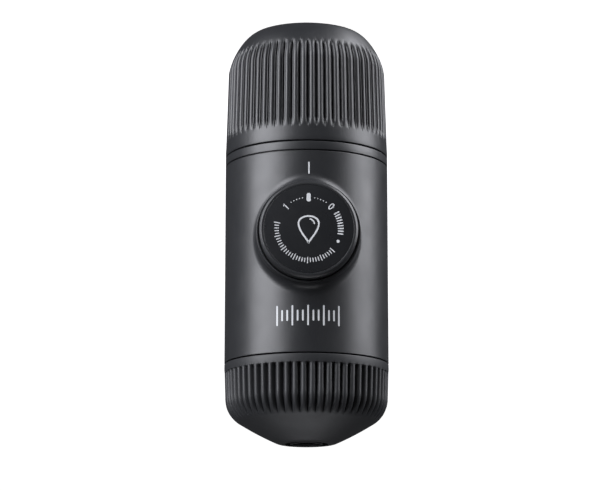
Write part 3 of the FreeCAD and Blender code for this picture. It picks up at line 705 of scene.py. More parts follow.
@dataclass
class WaterTank(FlutedShell):
    """Fluted cup that screws on the neck, and its gasket."""

    taper: float = 0.9
    shoulder: float = 15.3
    shoulder_steps: int = 26
    shoulder_power: float = 1.466   # exponent of the superellipse of the shoulder
    base_r: float = 19.9
    base_edge: float = 0.6          # last ring of the flat end before its edge
    base_share: float = 0.6         # first ring of the flat end, in shares of its radius
    base_lift: float = 0.012        # keeps the edge's first ring off the flat end
    wall: float = 2.8
    floor: float = 2.4
    socket_r: float = 27.3
    socket_depth: float = 10.0
    rim_round: float = 0.35
    rim_bands: Point = (2.0, 3.0)   # plain wall next to the rim, outside and inside
    gasket_round: float = 0.12
    flute_margin: float = 5.0
    flute_runout: float = 3.9
    flute_low: float = 8.5          # where the grooves start on the shoulder
    flute_rise: float = 2.4         # height over which they reach their depth
    flutes: Flutes = Flutes()

    def __post_init__(self) -> None:
        """Read the tank's place from the frame."""
        span = Span.of("water_tank")
        self.rim_z = span.high.z
        self.rim_r = span.high.x
        self.flute_end = self.rim_z - self.flute_margin
        self.flute_full = self.flute_end - self.flute_runout

    def shoulder_point(self, turn: float) -> Point:
        """Point of the shoulder.

        Args:
            turn: Angle, 0 at the shoulder's top and a quarter turn at its foot.

        Returns:
            Radius and height.
        """
        power = 2 / self.shoulder_power
        wall_r = self.rim_r - self.taper
        r = self.base_r + (wall_r - self.base_r) * math.cos(turn) ** power
        return r, self.shoulder * (1 - math.sin(turn) ** power)

    def wall_at(self, z: float) -> float:
        """Outer radius at a height."""
        if z >= self.shoulder:
            return self.rim_r - self.taper * (self.rim_z - z) / (self.rim_z - self.shoulder)
        turn = math.asin(min(1.0, (1 - z / self.shoulder) ** (self.shoulder_power / 2)))
        return self.shoulder_point(turn)[0]

    def floor_at(self, z: float) -> float | None:
        """Floor of the grooves, which run out by the rim and on the shoulder."""
        if z < self.flute_low:
            return None
        full = self.flute_full
        deep = self.flutes.depth
        clear = self.flutes.edge_blend
        if z > full:
            return self.wall_at(full) - deep + (deep + clear) * ((z - full) / self.flute_runout)
        share = min(1.0, (z - self.flute_low) / self.flute_rise)
        return self.wall_at(z) + clear - (deep + clear) * math.sin(share * math.pi / 2)

    def build(self, looks: Looks) -> None:
        """Build the tank and its gasket."""
        top = self.rim_z
        rows = [Row(0, 0), Row(self.base_r * self.base_share, 0), Row(self.base_r - self.base_edge, 0)]
        for turn in between(math.pi / 2, 0.0, self.shoulder_steps):
            r, z = self.shoulder_point(turn)
            z = max(z, self.base_lift)
            rows.append(Row(r, z, self.floor_at(z)))
        rows += self.rings(between(self.shoulder, self.flute_full, 5)[1:]
                           + between(self.flute_full, self.flute_end, 14)[1:])
        edge = self.rim_round
        outside, inside = self.rim_bands
        rows += plain_rows([(self.rim_r, top - outside, 0), (self.rim_r, top, edge),
                            (self.socket_r, top, edge), (self.socket_r, top - inside, 0)])
        socket_z = top - self.socket_depth
        inner_r = self.rim_r - self.taper - self.wall
        rows += [Row(self.socket_r, socket_z), Row(inner_r, socket_z), Row(inner_r, self.shoulder),
                 Row(self.base_r - self.floor, self.floor), Row(0, self.floor)]
        tank = fluted("water_tank_shell", rows, self.flutes, self.rim_r)
        finished(tank, Body.TANK, looks[Look.SHELL], SHELL_SMOOTH, ["water_tank"])

        seal = Span.of("tank_gasket")
        inner = self.socket_r
        edge = self.gasket_round
        ring = spun("tank_gasket_ring", [
            (inner, seal.low.z, 0), (seal.high.x, seal.low.z, edge), (seal.high.x, seal.high.z, edge),
            (inner, seal.high.z, 0), (inner, seal.low.z, 0)])
        finished(ring, Body.TANK_SEAL, looks[Look.RUBBER], stands_for=["tank_gasket"])


# ---- housing


@dataclass(frozen=True)
class Thread:
    """Ridge of a screw thread, tapered at both ends."""

    pitch: float
    margins: Point                  # plain lengths of the core below and above the ridge
    depth: float = 0.8
    sink: float = 0.1               # how far the ridge's foot lies in the core
    foot_half: float = 0.38         # half widths, in pitches
    crest_half: float = 0.16
    turn_steps: int = 96
    fade_steps: int = 10            # steps over which an end rises
    least: float = 0.02             # share of the depth at the very end

    def ridge(self, name: str, core_r: float, foot: float, top: float) -> Piece:
        """Make the ridge.

        Args:
            name: Name of the piece.
            core_r: Radius of the core.
            foot: Height of the core's lower end.
            top: Height of the core's upper end.

        Returns:
            The ridge, closed at its ends.
        """
        low = foot + self.margins[0]
        high = top - self.margins[1]
        count = round((high - low) / self.pitch * self.turn_steps)
        foot_r = core_r - self.sink
        rows: list[Ring] = []
        for i in range(count + 1):
            turn = FULL_TURN * i / self.turn_steps
            z = low + (high - low) * i / count
            fade = min(1.0, i / self.fade_steps, (count - i) / self.fade_steps)
            crest = core_r + self.depth * max(fade, self.least)
            profile = ((foot_r, -self.foot_half), (crest, -self.crest_half),
                       (crest, self.crest_half), (foot_r, self.foot_half))
            rows.append([(*polar(r, turn), z + share * self.pitch) for r, share in profile])
        ends = [[tuple(sum(axis) / len(row) for axis in zip(*row))] for row in (rows[0], rows[-1])]
        return woven(name, [Patch([ends[0], *rows, ends[1]])])


@dataclass
class Neck(Assembly):
    """Plain ring between tank and casing, with the threaded neck that the tank screws on."""

    edge: float = 0.25
    bore_edge: float = 0.3
    neck_edge: float = 0.5
    neck_r: float = 27.0
    neck_wall: float = 2.6
    floor: float = 3.2
    ring_length: float = 3.2
    thread: Thread = Thread(pitch=3.1, margins=(1.0, 1.6))

    def build(self, looks: Looks) -> None:
        """Build the neck with its ring."""
        span = Span.of("tank_neck")
        low, top = span.low.z, span.high.z
        ring_z = top - self.ring_length
        bore = self.neck_r - self.neck_wall
        root = self.neck_r - self.thread.depth
        edge = self.bore_edge
        neck = spun("tank_neck_ring", [
            (0, top - self.floor, 0), (bore, top - self.floor, edge), (bore, low, edge),
            (root, low, self.neck_edge), (root, ring_z, edge), (span.high.x, ring_z, self.edge),
            (span.high.x, top, self.edge), (0, top, 0)])
        ridge = self.thread.ridge("tank_neck_thread", root, low, ring_z)
        finished(joined(neck, ridge), Body.HOUSING, looks[Look.SHELL],
                 stands_for=["tank_neck"])


@dataclass
class Casing(Assembly):
    """Smooth casing whose wall sweeps up into the boss of the thumb piston, and its printed marks."""

    wall: float = 2.5
    bore_gap: float = 0.3           # between cap and boss
    rim: float = 0.75               # width of the boss's rim
    fillet: float = 4.2
    pocket_r: float = 20.8          # pocket behind the boss, for the turning ring
    pocket_front: float = 20.1
    seam_gap: float = 0.4
    seam_depth: float = 0.8
    lip_width: float = 1.15
    lip_depth: float = 1.6
    edge: float = 0.22
    side_steps: int = 60            # columns on each side of the piston's field
    field_bearing: float = math.radians(60)
    sweep_steps: int = 16
    field_steps: int = 18
    field_bend: float = 1.3         # packs the field's rings towards the fillet
    pocket_steps: int = 4
    inner_steps: int = 10
    edge_share: float = 0.3         # how far an edge's middle point lies in
    end_edge_share: float = 0.9     # rounding of both ends, in shares of the edge
    first_turn: float = math.radians(-45)   # towards the first corner of the piston's field
    ink_height: float = 0.025
    index_x: float = -0.3
    index_heights: tuple[float, ...] = (56.4, 59.0, 61.2)
    index_width: float = 0.5
    scale_z: float = 112.9          # middle of the scale beyond the piston
    scale_side: int = 6             # ticks on each side of the middle one
    scale_major: int = 3            # every third tick is a long one
    scale_step: float = 1.9
    tick_halves: Point = (3.4, 1.7)     # long and short
    tick_width: float = 0.62

    def __post_init__(self) -> None:
        """Read the casing's place from the frame."""
        span = Span.of("body_shell")
        cap = Span.of("piston_cap")
        self.radius = span.high.x
        self.inner_r = self.radius - self.wall
        self.base_z = span.low.z
        self.top_z = span.high.z
        self.front = -span.low.y
        self.axis_z = (cap.low.z + cap.high.z) / 2
        self.bore_r = cap.high.x + self.bore_gap
        self.boss_r = self.bore_r + self.rim
        count = 4 * self.side_steps
        self.turns = [self.first_turn + FULL_TURN * k / count for k in range(count)]
        self.back_bearings = between(self.field_bearing, FULL_TURN - self.field_bearing,
                                     2 * self.side_steps)

    def round_axis(self, radius: float, turn: float, y: float) -> Place:
        """Place round the piston's axis; the turn is measured from +X towards +Z."""
        x, up = polar(radius, turn)
        return x, y, self.axis_z + up

    def sweep(self, turn: float) -> Ring:
        """Rolling-ball fillet between boss and wall.

        Args:
            turn: Angle round the piston's axis.

        Returns:
            Places from the boss to the wall.
        """
        track = self.radius + self.fillet
        x, up = polar(self.boss_r + self.fillet, turn)
        y = -math.sqrt(track * track - x * x)
        ball = Vector((x, y, up))
        to_boss = Vector((-math.cos(turn), 0, -math.sin(turn)))
        to_wall = Vector((-x / track, -y / track, 0))
        full = to_boss.angle(to_wall)
        start = 0.0
        front = -self.front + self.edge
        if y < front:
            start = math.asin((front - y) / self.fillet * math.sin(full) / to_wall.y)
        lift = Vector((0, 0, self.axis_z))
        return [tuple(ball + lift + to_boss.slerp(to_wall, share) * self.fillet)
                for share in between(start / full, 1.0, self.sweep_steps)]

    def spread(self, foot: Ring, radius: float, reach: Point, shares: Sequence[float]) -> list[Ring]:
        """Lay rings on a round wall out to the edge of the piston's field.

        Args:
            foot: Ring of places on the wall to start from.
            radius: Radius of the wall.
            reach: Lowest and highest height of the field.
            shares: How far each ring has gone from the foot to the edge.

        Returns:
            The rings.
        """
        low, high = reach
        rings = []
        for share in shares:
            ring = []
            for k, (x, y, z) in enumerate(foot):
                side, step = divmod(k, self.side_steps)
                across = self.field_bearing * (1 - 2 * step / self.side_steps)
                rise = (high - low) * step / self.side_steps
                bearing, edge_z = ((self.field_bearing, low + rise), (across, high),
                                   (-self.field_bearing, high - rise), (-across, low))[side]
                start = math.atan2(x, -y)
                ring.append(beside(radius, start + (bearing - start) * share,
                                   z + (edge_z - z) * share))
            rings.append(ring)
        return rings

    def outer_field(self, reach: Point) -> list[Ring]:
        """Rings of the outside round the piston, from the bore to the field's edge."""
        front = -self.front
        edge = self.edge
        soft = self.edge_share * edge
        rims = ((self.bore_r, front + edge), (self.bore_r + soft, front + soft),
                (self.bore_r + edge, front), (self.boss_r - edge, front),
                (self.boss_r - soft, front + soft))
        rings = [[self.round_axis(r, t, y) for t in self.turns] for r, y in rims]
        sweeps = [self.sweep(t) for t in self.turns]
        rings.append([self.round_axis(self.boss_r, t, min(front + edge, s[0][1]))
                      for t, s in zip(self.turns, sweeps)])
        rings += zip(*sweeps)
        shares = between(0.0, 1.0, self.field_steps, self.field_bend)[1:]
        return rings + self.spread(rings[-1], self.radius, reach, shares)

    def inner_field(self, reach: Point) -> list[Ring]:
        """Rings of the inside round the piston, from the bore to the field's edge."""
        rings = []
        for r in between(self.bore_r, self.pocket_r, self.pocket_steps):
            rings.append([self.round_axis(r, t, min(-self.pocket_front, self.inner_y(r, t)))
                          for t in self.turns])
        rings.append([self.round_axis(self.pocket_r, t, self.inner_y(self.pocket_r, t))
                      for t in self.turns])
        return rings + self.spread(rings[-1], self.inner_r, reach,
                                   between(0.0, 1.0, self.inner_steps)[1:])

    def inner_y(self, radius: float, turn: float) -> float:
        """Depth of the inside wall at a place round the piston's axis."""
        return -math.sqrt(self.inner_r ** 2 - (radius * math.cos(turn)) ** 2)

    def back(self, radius: float, low: float, high: float) -> list[Ring]:
        """Rows of the plain wall behind the field."""
        return [[beside(radius, bearing, z) for bearing in self.back_bearings]
                for z in between(low, high, self.side_steps)]

    def end(self, outline: Sequence[Point]) -> list[Ring]:
        """Rings of one end of the casing, which meet the field's and the back's columns."""
        bearings = between(-self.field_bearing, self.field_bearing, self.side_steps)
        bearings += self.back_bearings[1:-1]
        return [[beside(r, bearing, z) for bearing in bearings] for r, z in outline]

    def marks(self) -> list[Stroke]:
        """Index line over the piston, and a plain scale of ticks beyond it."""
        strokes = [Stroke([(self.index_x, z) for z in self.index_heights], self.index_width)]
        for i in range(-self.scale_side, self.scale_side + 1):
            half = self.tick_halves[i % self.scale_major > 0]
            path = [(i * self.scale_step, self.scale_z + rise) for rise in (-half, 0, half)]
            strokes.append(Stroke(path, self.tick_width))
        return strokes

    def build(self, looks: Looks) -> None:
        """Build the casing and its marks."""
        foot = self.base_z + self.seam_gap
        low = foot + self.edge
        high = self.top_z - self.edge
        inner_high = self.top_z - self.lip_depth
        outer = self.outer_field((low, high))
        inner = self.inner_field((self.base_z, inner_high))
        rebate_r = self.radius - self.seam_depth
        lip_r = self.inner_r + self.lip_width
        edge = self.edge * self.end_edge_share
        base = rounded([(self.radius, low, 0), (self.radius, foot, edge), (rebate_r, foot, 0)], steps=3)
        base += [(rebate_r, self.base_z), (self.inner_r, self.base_z)]
        top = rounded([(self.radius, high, 0), (self.radius, self.top_z, edge),
                       (lip_r, self.top_z, 0)], steps=3)
        top += [(lip_r, inner_high), (self.inner_r, inner_high)]
        skin = woven("casing_shell", [
            Patch(outer), Patch([outer[0], inner[0]]), Patch(inner),
            Patch(self.back(self.radius, low, high), closed=False),
            Patch(self.back(self.inner_r, self.base_z, inner_high), closed=False),
            Patch(self.end(base)), Patch(self.end(top))])
        finished(skin, Body.HOUSING, looks[Look.SHELL], SHELL_SMOOTH, ["body_shell"])

        film = printed("casing_marks", self.marks(), self.ink_height)
        for vertex in film.data.vertices:
            x, y, z = vertex.co
            vertex.co = beside(self.radius + z, x / self.radius, y)
        finished(film, Body.HOUSING, looks[Look.INK])


# ---- piston


@dataclass(frozen=True)
class DialPrint:
    """Marks printed on the piston's disc: a pill, dots, two numbers, scales and a water drop.

    Angles run clockwise from the tank's side, for someone who looks at the disc.
    """

    ring_r: float = 11.5
    thickness: float = 0.03
    pill: Point = (1.7, 1.5)                # length and width
    dots: tuple[float, ...] = (11, 16.5, 22, 27.5, 33)
    dot_width: float = 0.42
    zero_halves: Point = (0.56, 1.18)
    zero_width: float = 0.36
    one: tuple[Point, ...] = ((-0.5, 0.72), (0.0, 1.2), (0.0, 0.0), (0.0, -1.2))
    one_width: float = 0.38
    number_angle: float = 45
    tick_step: float = 4.94
    side_scale: tuple[float, int] = (60, 9)         # first angle and number of ticks
    side_tick: Point = (1.7, 0.46)
    point_angle: float = 113.7
    point_width: float = 1.15
    foot_scale: tuple[float, int] = (132.6, 31)
    foot_major: int = 5                     # every fifth tick is a long one
    foot_ticks: Point = (2.0, 1.3)          # long and short
    foot_tick_width: float = 0.34
    drop_size: Point = (5.2, 4.9)
    drop_sink: float = 0.3
    drop_power: float = 1.5                 # pinches the drop's tip
    drop_width: float = 0.6
    glint_r: float = 2.1
    glint_ends: Point = (190, 255)          # degrees
    glint_sink: float = -1.5
    glint_width: float = 0.5

    def place(self, degrees: float, radius: float) -> Point:
        """Place on the disc at an angle and a radius."""
        turn = math.radians(degrees)
        return -radius * math.sin(turn), -radius * math.cos(turn)

    def tick(self, degrees: float, length: float, width: float) -> Stroke:
        """Line on the ring that points to the disc's centre."""
        ends = (self.ring_r - length / 2, self.ring_r + length / 2)
        return Stroke([self.place(degrees, r) for r in ends], width)

    def dot(self, degrees: float, width: float) -> Stroke:
        """Dot on the ring."""
        return Stroke([self.place(degrees, self.ring_r)], width)

    def sign(self, degrees: float, outline: Sequence[Point], width: float, closed: bool) -> Stroke:
        """Sign on the ring that stands upright for someone at the disc's centre."""
        path = [self.place(degrees + math.degrees(across / self.ring_r), self.ring_r + up)
                for across, up in outline]
        return Stroke(path, width, closed)

    def strokes(self) -> list[Stroke]:
        """All lines and dots of the print."""
        made = [self.tick(0, *self.pill)]
        made += [self.dot(side * degrees, self.dot_width) for side in (1, -1) for degrees in self.dots]
        wide, tall = self.zero_halves
        zero = [(wide * math.cos(t), tall * math.sin(t)) for t in between(0.0, FULL_TURN, 28)[:-1]]
        made.append(self.sign(self.number_angle, zero, self.zero_width, True))
        made.append(self.sign(-self.number_angle, self.one, self.one_width, False))
        first, count = self.side_scale
        made += [self.tick(first + self.tick_step * i, *self.side_tick) for i in range(count)]
        made.append(self.dot(self.point_angle, self.point_width))
        first, count = self.foot_scale
        for i in range(count):
            length = self.foot_ticks[i % self.foot_major > 0]
            made.append(self.tick(first + self.tick_step * i, length, self.foot_tick_width))
        wide, tall = self.drop_size
        drop = [(wide * math.sin(t) * math.sin(t / 2) ** self.drop_power,
                 tall * math.cos(t) + self.drop_sink)
                for t in between(0.0, FULL_TURN, 72)[:-1]]
        made.append(Stroke(drop, self.drop_width, True))
        ends = map(math.radians, self.glint_ends)
        glint = [polar(self.glint_r, t) for t in between(*ends, 8)]
        made.append(Stroke([(x, self.glint_sink + y) for x, y in glint], self.glint_width))
        return made


@dataclass
class Piston(Assembly):
    """Round thumb cap with its printed disc."""

    chamfer: float = 0.8
    chamfer_edge: float = 0.35
    wall: float = 1.6
    top: float = 2.6
    disc_sink: float = 0.06         # the disc lies a hair under the cap's edge
    disc_gap: float = 0.05
    disc_edge: float = 0.12
    edge: float = 0.3
    inner_edge: float = 0.1
    slot_width: float = 4.6
    slot_end: float = 21.0          # blind end of the slots, from the body's axis
    slot_past: float = 1.0          # how far the cutters run on beyond the skirt
    slot_bearings: tuple[float, ...] = (60.0, 180.0, 300.0)
    dial: DialPrint = DialPrint()

    def cut_slots(self, cup: Piece, cap_r: float, skirt: float) -> None:
        """Cut the skirt's slots, in which the turning ring's keys run.

        Args:
            cup: The cap, made about +Z.
            cap_r: Outer radius of the skirt.
            skirt: Distance of the skirt's end from the body's axis.
        """
        reach = cap_r - self.wall / 2
        length = self.slot_end - skirt + self.slot_past
        for bearing in self.slot_bearings:
            turn = math.radians(bearing)
            bpy.ops.mesh.primitive_cube_add(
                size=1, rotation=(0, 0, -turn), scale=(self.slot_width, 2 * self.wall, length),
                location=(reach * math.sin(turn), reach * math.cos(turn), self.slot_end - length / 2))
            bpy.ops.object.transform_apply(location=True, rotation=True, scale=True)
            cutter = bpy.context.active_object
            select_only(cup)
            cut = cup.modifiers.new("cut", "BOOLEAN")
            cut.operation = "DIFFERENCE"
            cut.solver = "EXACT"
            cut.object = cutter
            bpy.ops.object.modifier_apply(modifier=cut.name)
            bpy.data.objects.remove(cutter)

    def build(self, looks: Looks) -> None:
        """Build the cap, its disc and the print."""
        cap = Span.of("piston_cap")
        disc = Span.of("face_disc")
        height = (cap.low.z + cap.high.z) / 2
        cap_r = cap.high.x
        face = -cap.low.y
        skirt = -cap.high.y
        disc_r = disc.high.x
        disc_back = -disc.high.y
        inner_r = cap_r - self.wall
        well_r = disc_r + self.disc_gap
        soft = self.inner_edge
        edge = self.edge
        cup = spun("piston_cap_shell", [
            (0, disc_back, 0), (well_r, disc_back, 0), (well_r, face, soft),
            (cap_r - self.chamfer, face, edge), (cap_r, face - self.chamfer, self.chamfer_edge),
            (cap_r, skirt, edge),
            (inner_r, skirt, edge), (inner_r, face - self.top, soft), (0, face - self.top, 0)])
        self.cut_slots(cup, cap_r, skirt)
        to_piston_axis(cup, height)
        finished(cup, Body.PISTON, looks[Look.SHELL], stands_for=["piston_cap"])

        plate_face = face - self.disc_sink
        plate = spun("face_disc_plate", [
            (0, disc_back, 0), (disc_r, disc_back, 0), (disc_r, plate_face, self.disc_edge),
            (0, plate_face, 0)])
        to_piston_axis(plate, height)
        finished(plate, Body.PISTON, looks[Look.DISC], stands_for=["face_disc"])

        film = printed("face_disc_print", self.dial.strokes(), self.dial.thickness)
        film.data.transform(Matrix.Translation((0, 0, plate_face)))
        to_piston_axis(film, height)
        finished(film, Body.PISTON, looks[Look.INK])


# ---- group head and portafilter


@dataclass
class GroupHead(Assembly):
    """Head in the casing's end, with the threaded neck that takes the portafilter."""

    body_gap: float = 0.05
    casing_wall: float = 2.5
    neck_set_in: float = 3.9
    lip_depth: float = 1.6
    lip_edge: float = 0.15
    edge: float = 0.3
    neck_edge: float = 0.5
    chamber_edge: float = 0.4
    screen_seat: float = 1.5
    post_r: float = 3.6
    chamber: float = 1.5
    thread: Thread = Thread(pitch=4.0, margins=(1.6, 1.7))

    def build(self, looks: Looks) -> None:
        """Build the group head."""
        casing = Span.of("body_shell")
        head = Span.of("group_head")
        screen = Span.of("shower_screen")
        low, top = head.low.z, head.high.z
        shelf = casing.high.z
        lip_z = shelf - self.lip_depth
        seat = screen.low.z
        chamber_z = seat - self.chamber
        bore = screen.high.x + self.body_gap
        chamber_r = bore - self.screen_seat
        body_r = casing.high.x - self.casing_wall - self.body_gap
        root = casing.high.x - self.neck_set_in - self.thread.depth
        edge = self.edge
        soft = self.chamber_edge
        core = spun("group_head_neck", [
            (0, low, 0), (body_r, low, edge), (body_r, lip_z, 0), (head.high.x, lip_z, 0),
            (head.high.x, shelf, self.lip_edge), (root, shelf, edge), (root, top, self.neck_edge),
            (bore, top, soft), (bore, seat, 0), (chamber_r, seat, 0), (chamber_r, chamber_z, soft),
            (self.post_r, chamber_z, soft), (self.post_r, seat, 0), (0, seat, 0)])
        ridge = self.thread.ridge("group_head_thread", root, shelf, top)
        finished(joined(core, ridge), Body.HOUSING, looks[Look.INNER],
                 stands_for=["group_head"])


@dataclass
class Portafilter(FlutedShell):
    """Fluted holder with a cone end, a recess for the outlet and a drip groove round it."""

    taper: float = 0.4
    straight: float = 12.7
    rounding: float = 10.5
    tip_r: float = 10.4
    tip_round: float = 6.0
    cone_bulge: float = 0.5         # how far the cone's side swells out
    cone_round: float = 110.0
    wall: float = 2.4
    socket_r: float = 26.9
    socket_depth: float = 7.4
    well_r: float = 22.3
    well_depth: float = 21.9
    well_chamfer: Point = (2.0, 1.6)
    rim_round: float = 0.25
    rim_band: float = 2.0           # plain wall next to the rim
    flute_margin: float = 3.0
    flute_lead: float = 0.05        # from the last plain ring to the grooves' start
    flute_start_round: float = 1.3
    flute_knee: float = 14.5
    flute_end: float = 20.8
    flute_past: float = 3.0         # how far the floor runs on, outside the wall
    nozzle_r: float = 5.25
    collar: float = 1.6
    stem_r: float = 4.25
    ring_r: Point = (6.1, 8.0)      # drip groove round the outlet
    ring_depth: float = 1.1
    ring_edge: float = 0.15
    ring_floor_edge: float = 0.1
    flutes: Flutes = Flutes(depth=1.5, side_slope=2.2, floor_round=0.3, crown_r=1.15, crown_half=1.0)

    def __post_init__(self) -> None:
        """Read the holder's place from the frame."""
        span = Span.of("portafilter")
        self.mouth_z = span.low.z
        self.tip_z = span.high.z
        self.rim_r = span.high.x
        self.wall_r = self.rim_r - self.taper
        self.centre_r = self.wall_r - self.rounding
        self.centre_z = self.mouth_z + self.straight
        rise, run = self.tip_z - self.centre_z, self.tip_r - self.centre_r
        self.slope = math.atan2(rise, run) - math.acos(self.rounding / math.hypot(run, rise))
        self.flute_start = self.mouth_z + self.flute_margin
        self.flute_full = self.flute_start + self.flute_start_round

    def wall_at(self, z: float) -> float:
        """Outer radius at a height."""
        if z <= self.centre_z:
            return self.rim_r - self.taper * (z - self.mouth_z) / self.straight
        rise = z - self.centre_z
        leave = self.rounding * math.sin(self.slope)
        if rise <= leave:
            return self.centre_r + math.sqrt(self.rounding ** 2 - rise ** 2)
        leave_r = self.centre_r + self.rounding * math.cos(self.slope)
        return leave_r - (rise - leave) * math.tan(self.slope)

    def floor_at(self, z: float) -> float | None:
        """Floor of the grooves, which start round and run out on the rounding."""
        if not self.flute_start <= z < self.mouth_z + self.flute_end + self.flute_past:
            return None
        deep = self.flutes.depth
        floor_r = self.wall_r - deep
        if z < self.flute_full:
            share = min(1.0, (self.flute_full - z) / self.flute_start_round)
            return floor_r + (deep + self.flutes.edge_blend) * (1 - math.sqrt(1 - share ** 2))
        knee = self.mouth_z + self.flute_knee
        end = self.mouth_z + self.flute_end
        if z <= knee:
            return floor_r
        return floor_r - (floor_r - self.wall_at(end)) / (end - knee) * (z - knee)

    def build(self, looks: Looks) -> None:
        """Build the holder."""
        mouth = self.mouth_z
        tip = self.tip_z
        leave_z = self.centre_z + self.rounding * math.sin(self.slope)
        collar_z = tip - self.collar
        well_z = mouth + self.well_depth
        socket_z = mouth + self.socket_depth
        edge = self.rim_round
        rows = [Row(self.stem_r, collar_z - self.wall), Row(self.well_r - self.well_chamfer[0], well_z),
                Row(self.well_r, well_z - self.well_chamfer[1]), Row(self.well_r, socket_z),
                Row(self.socket_r, socket_z)]
        band_z = mouth + self.rim_band
        rows += plain_rows([(self.socket_r, band_z, 0), (self.socket_r, mouth, edge),
                            (self.rim_r, mouth, edge), (self.rim_r, band_z, 0)])
        rows += self.rings([self.flute_start - self.flute_lead]
                           + between(self.flute_start, self.flute_full, 14, 2.0)
                           + between(self.flute_full, self.centre_z, 4)[1:]
                           + between(self.centre_z, leave_z, 22)[1:])
        leave_r = self.wall_at(leave_z)
        side = Vector((leave_r - self.tip_r, tip - leave_z)).normalized()
        middle_r = (leave_r + self.tip_r) / 2 + side.y * self.cone_bulge
        middle_z = (leave_z + tip) / 2 + side.x * self.cone_bulge
        inner, outer = self.ring_r
        floor_z = tip - self.ring_depth
        edge, soft = self.ring_edge, self.ring_floor_edge
        rows += plain_rows([
            (leave_r, leave_z, 0), (middle_r, middle_z, self.cone_round),
            (self.tip_r, tip, self.tip_round), (outer, tip, edge), (outer, floor_z, soft),
            (inner, floor_z, soft), (inner, tip, edge), (self.nozzle_r, tip, edge),
            (self.nozzle_r, collar_z, 0)], steps=8)[1:]
        rows += [Row(self.stem_r, collar_z), rows[0]]
        holder = fluted("portafilter_shell", rows, self.flutes, self.rim_r)
        finished(holder, Body.PORTAFILTER, looks[Look.HEAD_SHELL], SHELL_SMOOTH,
                 ["portafilter"])


# ---- inside pieces


NODE_LOOKS: dict[Look, tuple[str, ...]] = {
    Look.STEEL: ("neck_screws", "cap_screw", "plunger", "return_spring", "cylinder_liner", "tie_screws",
                 "inlet_poppet", "outlet_poppet", "inlet_spring", "outlet_spring", "shower_screen",
                 "screen_screw", "filter_basket", "inlet_strainer"),
    Look.INNER: ("turning_ring", "pump_block", "piston_guide", "gland_nut", "end_plug", "inlet_seat",
                 "outlet_seat", "riser_tube"),
    Look.RUBBER: ("plunger_seal", "plug_seal", "riser_seal", "group_gasket", "nozzle_seal"),
    Look.NOZZLE: ("outlet_nozzle",),
}


def dress_nodes(nodes: dict[str, Piece], looks: Looks) -> None:
    """Give the frame's nodes that stay visible their materials.

    Args:
        nodes: Nodes of the frame by name.
        looks: Materials by finish.
    """
    for look, names in NODE_LOOKS.items():
        for name in names:
            nodes[name].data.materials.clear()
            nodes[name].data.materials.append(looks[look])


# ---- studio


@dataclass
class Softbox:
    """Rectangular lamp beside the object."""

    name: str
    bearing: float          # degrees from the camera's side towards +X
    distance: float
    height: float
    width: float
    tall: float
    radiance: float

    def build(self, aim: Vector, colour: str) -> None:
        """Place the lamp and point it at the object.

        Args:
            aim: Place that it points at, in metres.
            colour: Colour of its light.
        """
        place = Vector(beside(self.distance, math.radians(self.bearing), self.height))
        lamp = bpy.data.lights.new(self.name, "AREA")
        lamp.shape = "RECTANGLE"
        lamp.size = self.width
        lamp.size_y = self.tall
        lamp.energy = self.radiance * math.pi * self.width * self.tall
        lamp.color = linear(colour)[:3]
        holder = placed(self.name, lamp)
        holder.location = place
        holder.rotation_euler = (aim - place).to_track_quat("-Z", "Y").to_euler()
        holder.visible_camera = False


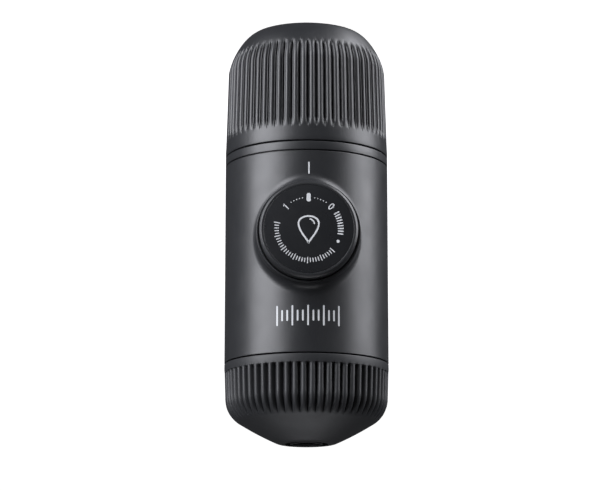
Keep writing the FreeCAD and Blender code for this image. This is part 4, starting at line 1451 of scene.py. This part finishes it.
@dataclass
class Studio:
    """Floor, lamps and camera."""

    aim_z: float = 0.0794
    camera_distance: float = 0.864
    camera_elevation: float = 11.7
    camera_bearing: float = 1.1
    focal_px: float = 2300.0
    image_width_px: float = 597.0
    sensor_mm: float = 36.0
    shift_right_px: float = 8.0
    shift_up_px: float = 4.43
    ambient: float = 0.05
    lamp_colour: str = "#f8f9ff"    # cool daylight
    floor_size: float = 8.0
    floor_drop: float = 0.0002      # keeps the floor clear of the object's flat end

    def build_camera(self) -> None:
        """Place the camera, upside down as the object is held."""
        aim = Vector((0, 0, self.aim_z))
        rise = math.radians(self.camera_elevation)
        back = Vector(beside(math.cos(rise), math.radians(self.camera_bearing), math.sin(rise)))
        data = bpy.data.cameras.new("camera")
        data.sensor_width = self.sensor_mm
        data.lens = self.focal_px / self.image_width_px * self.sensor_mm
        data.shift_x = -self.shift_right_px / self.image_width_px
        data.shift_y = -self.shift_up_px / self.image_width_px
        camera = placed("camera", data)
        camera.location = aim + back * self.camera_distance
        look = (-back).to_track_quat("-Z", "Y").to_matrix()
        camera.rotation_euler = (look @ Matrix.Rotation(math.pi, 3, "Z")).to_euler()
        bpy.context.scene.camera = camera

    def build_floor(self) -> None:
        """Lay the floor, which throws no shadow and shows in no reflection."""
        bpy.ops.object.select_all(action="DESELECT")
        bpy.ops.mesh.primitive_plane_add(size=self.floor_size, location=(0, 0, -self.floor_drop))
        floor = bpy.context.active_object
        floor.name = "floor"
        floor.data.materials.append(FloorPaper().material())
        floor.visible_shadow = False
        floor.visible_glossy = False

    def build_world(self) -> None:
        """Set a plain dim world that is white to the camera."""
        world = bpy.data.worlds.new("studio")
        bpy.context.scene.world = world
        tree = fresh_tree(world)
        path = add_node(tree, "LightPath")
        level = add_node(tree, "Mix", {
            "Factor": path.outputs["Is Camera Ray"], "A": self.ambient, "B": 1.0}, data_type="FLOAT")
        light = add_node(tree, "Background", {
            "Color": linear(WHITE), "Strength": level.outputs["Result"]})
        add_node(tree, "OutputWorld", {"Surface": light.outputs["Background"]})

    def build(self) -> None:
        """Build the whole studio."""
        self.build_camera()
        self.build_floor()
        self.build_world()
        aim = Vector((0, 0, self.aim_z))
        lamps = (
            Softbox("softbox_wide", 59.0, 0.7, -0.20, 0.62, 0.85, 9.6),
            Softbox("softbox_side", -85.0, 0.7, -0.34, 0.6, 0.9, 7.8),
            Softbox("softbox_low", -30.0, 0.4, -0.7, 0.5, 0.4, 0.9),
            Softbox("softbox_rim", -125.0, 0.6, -0.6, 0.5, 0.4, 1.6),
            Softbox("softbox_top", 180.0, 0.12, 0.95, 0.6, 0.5, 2.8),
        )
        for lamp in lamps:
            lamp.build(aim, self.lamp_colour)
        bpy.context.scene.view_settings.view_transform = "Standard"


# ---- main


def main() -> None:
    """Build every piece in order."""
    logging.basicConfig(level=logging.INFO, format="%(message)s")
    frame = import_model()
    looks = {look: look.value.material() for look in Look}
    dress_nodes(frame["nodes"], looks)
    Studio().build()
    for assembly in (WaterTank(), Neck(), Casing(), Piston(), GroupHead(), Portafilter()):
        assembly.build(looks)


if __name__ == "__main__":
    main()
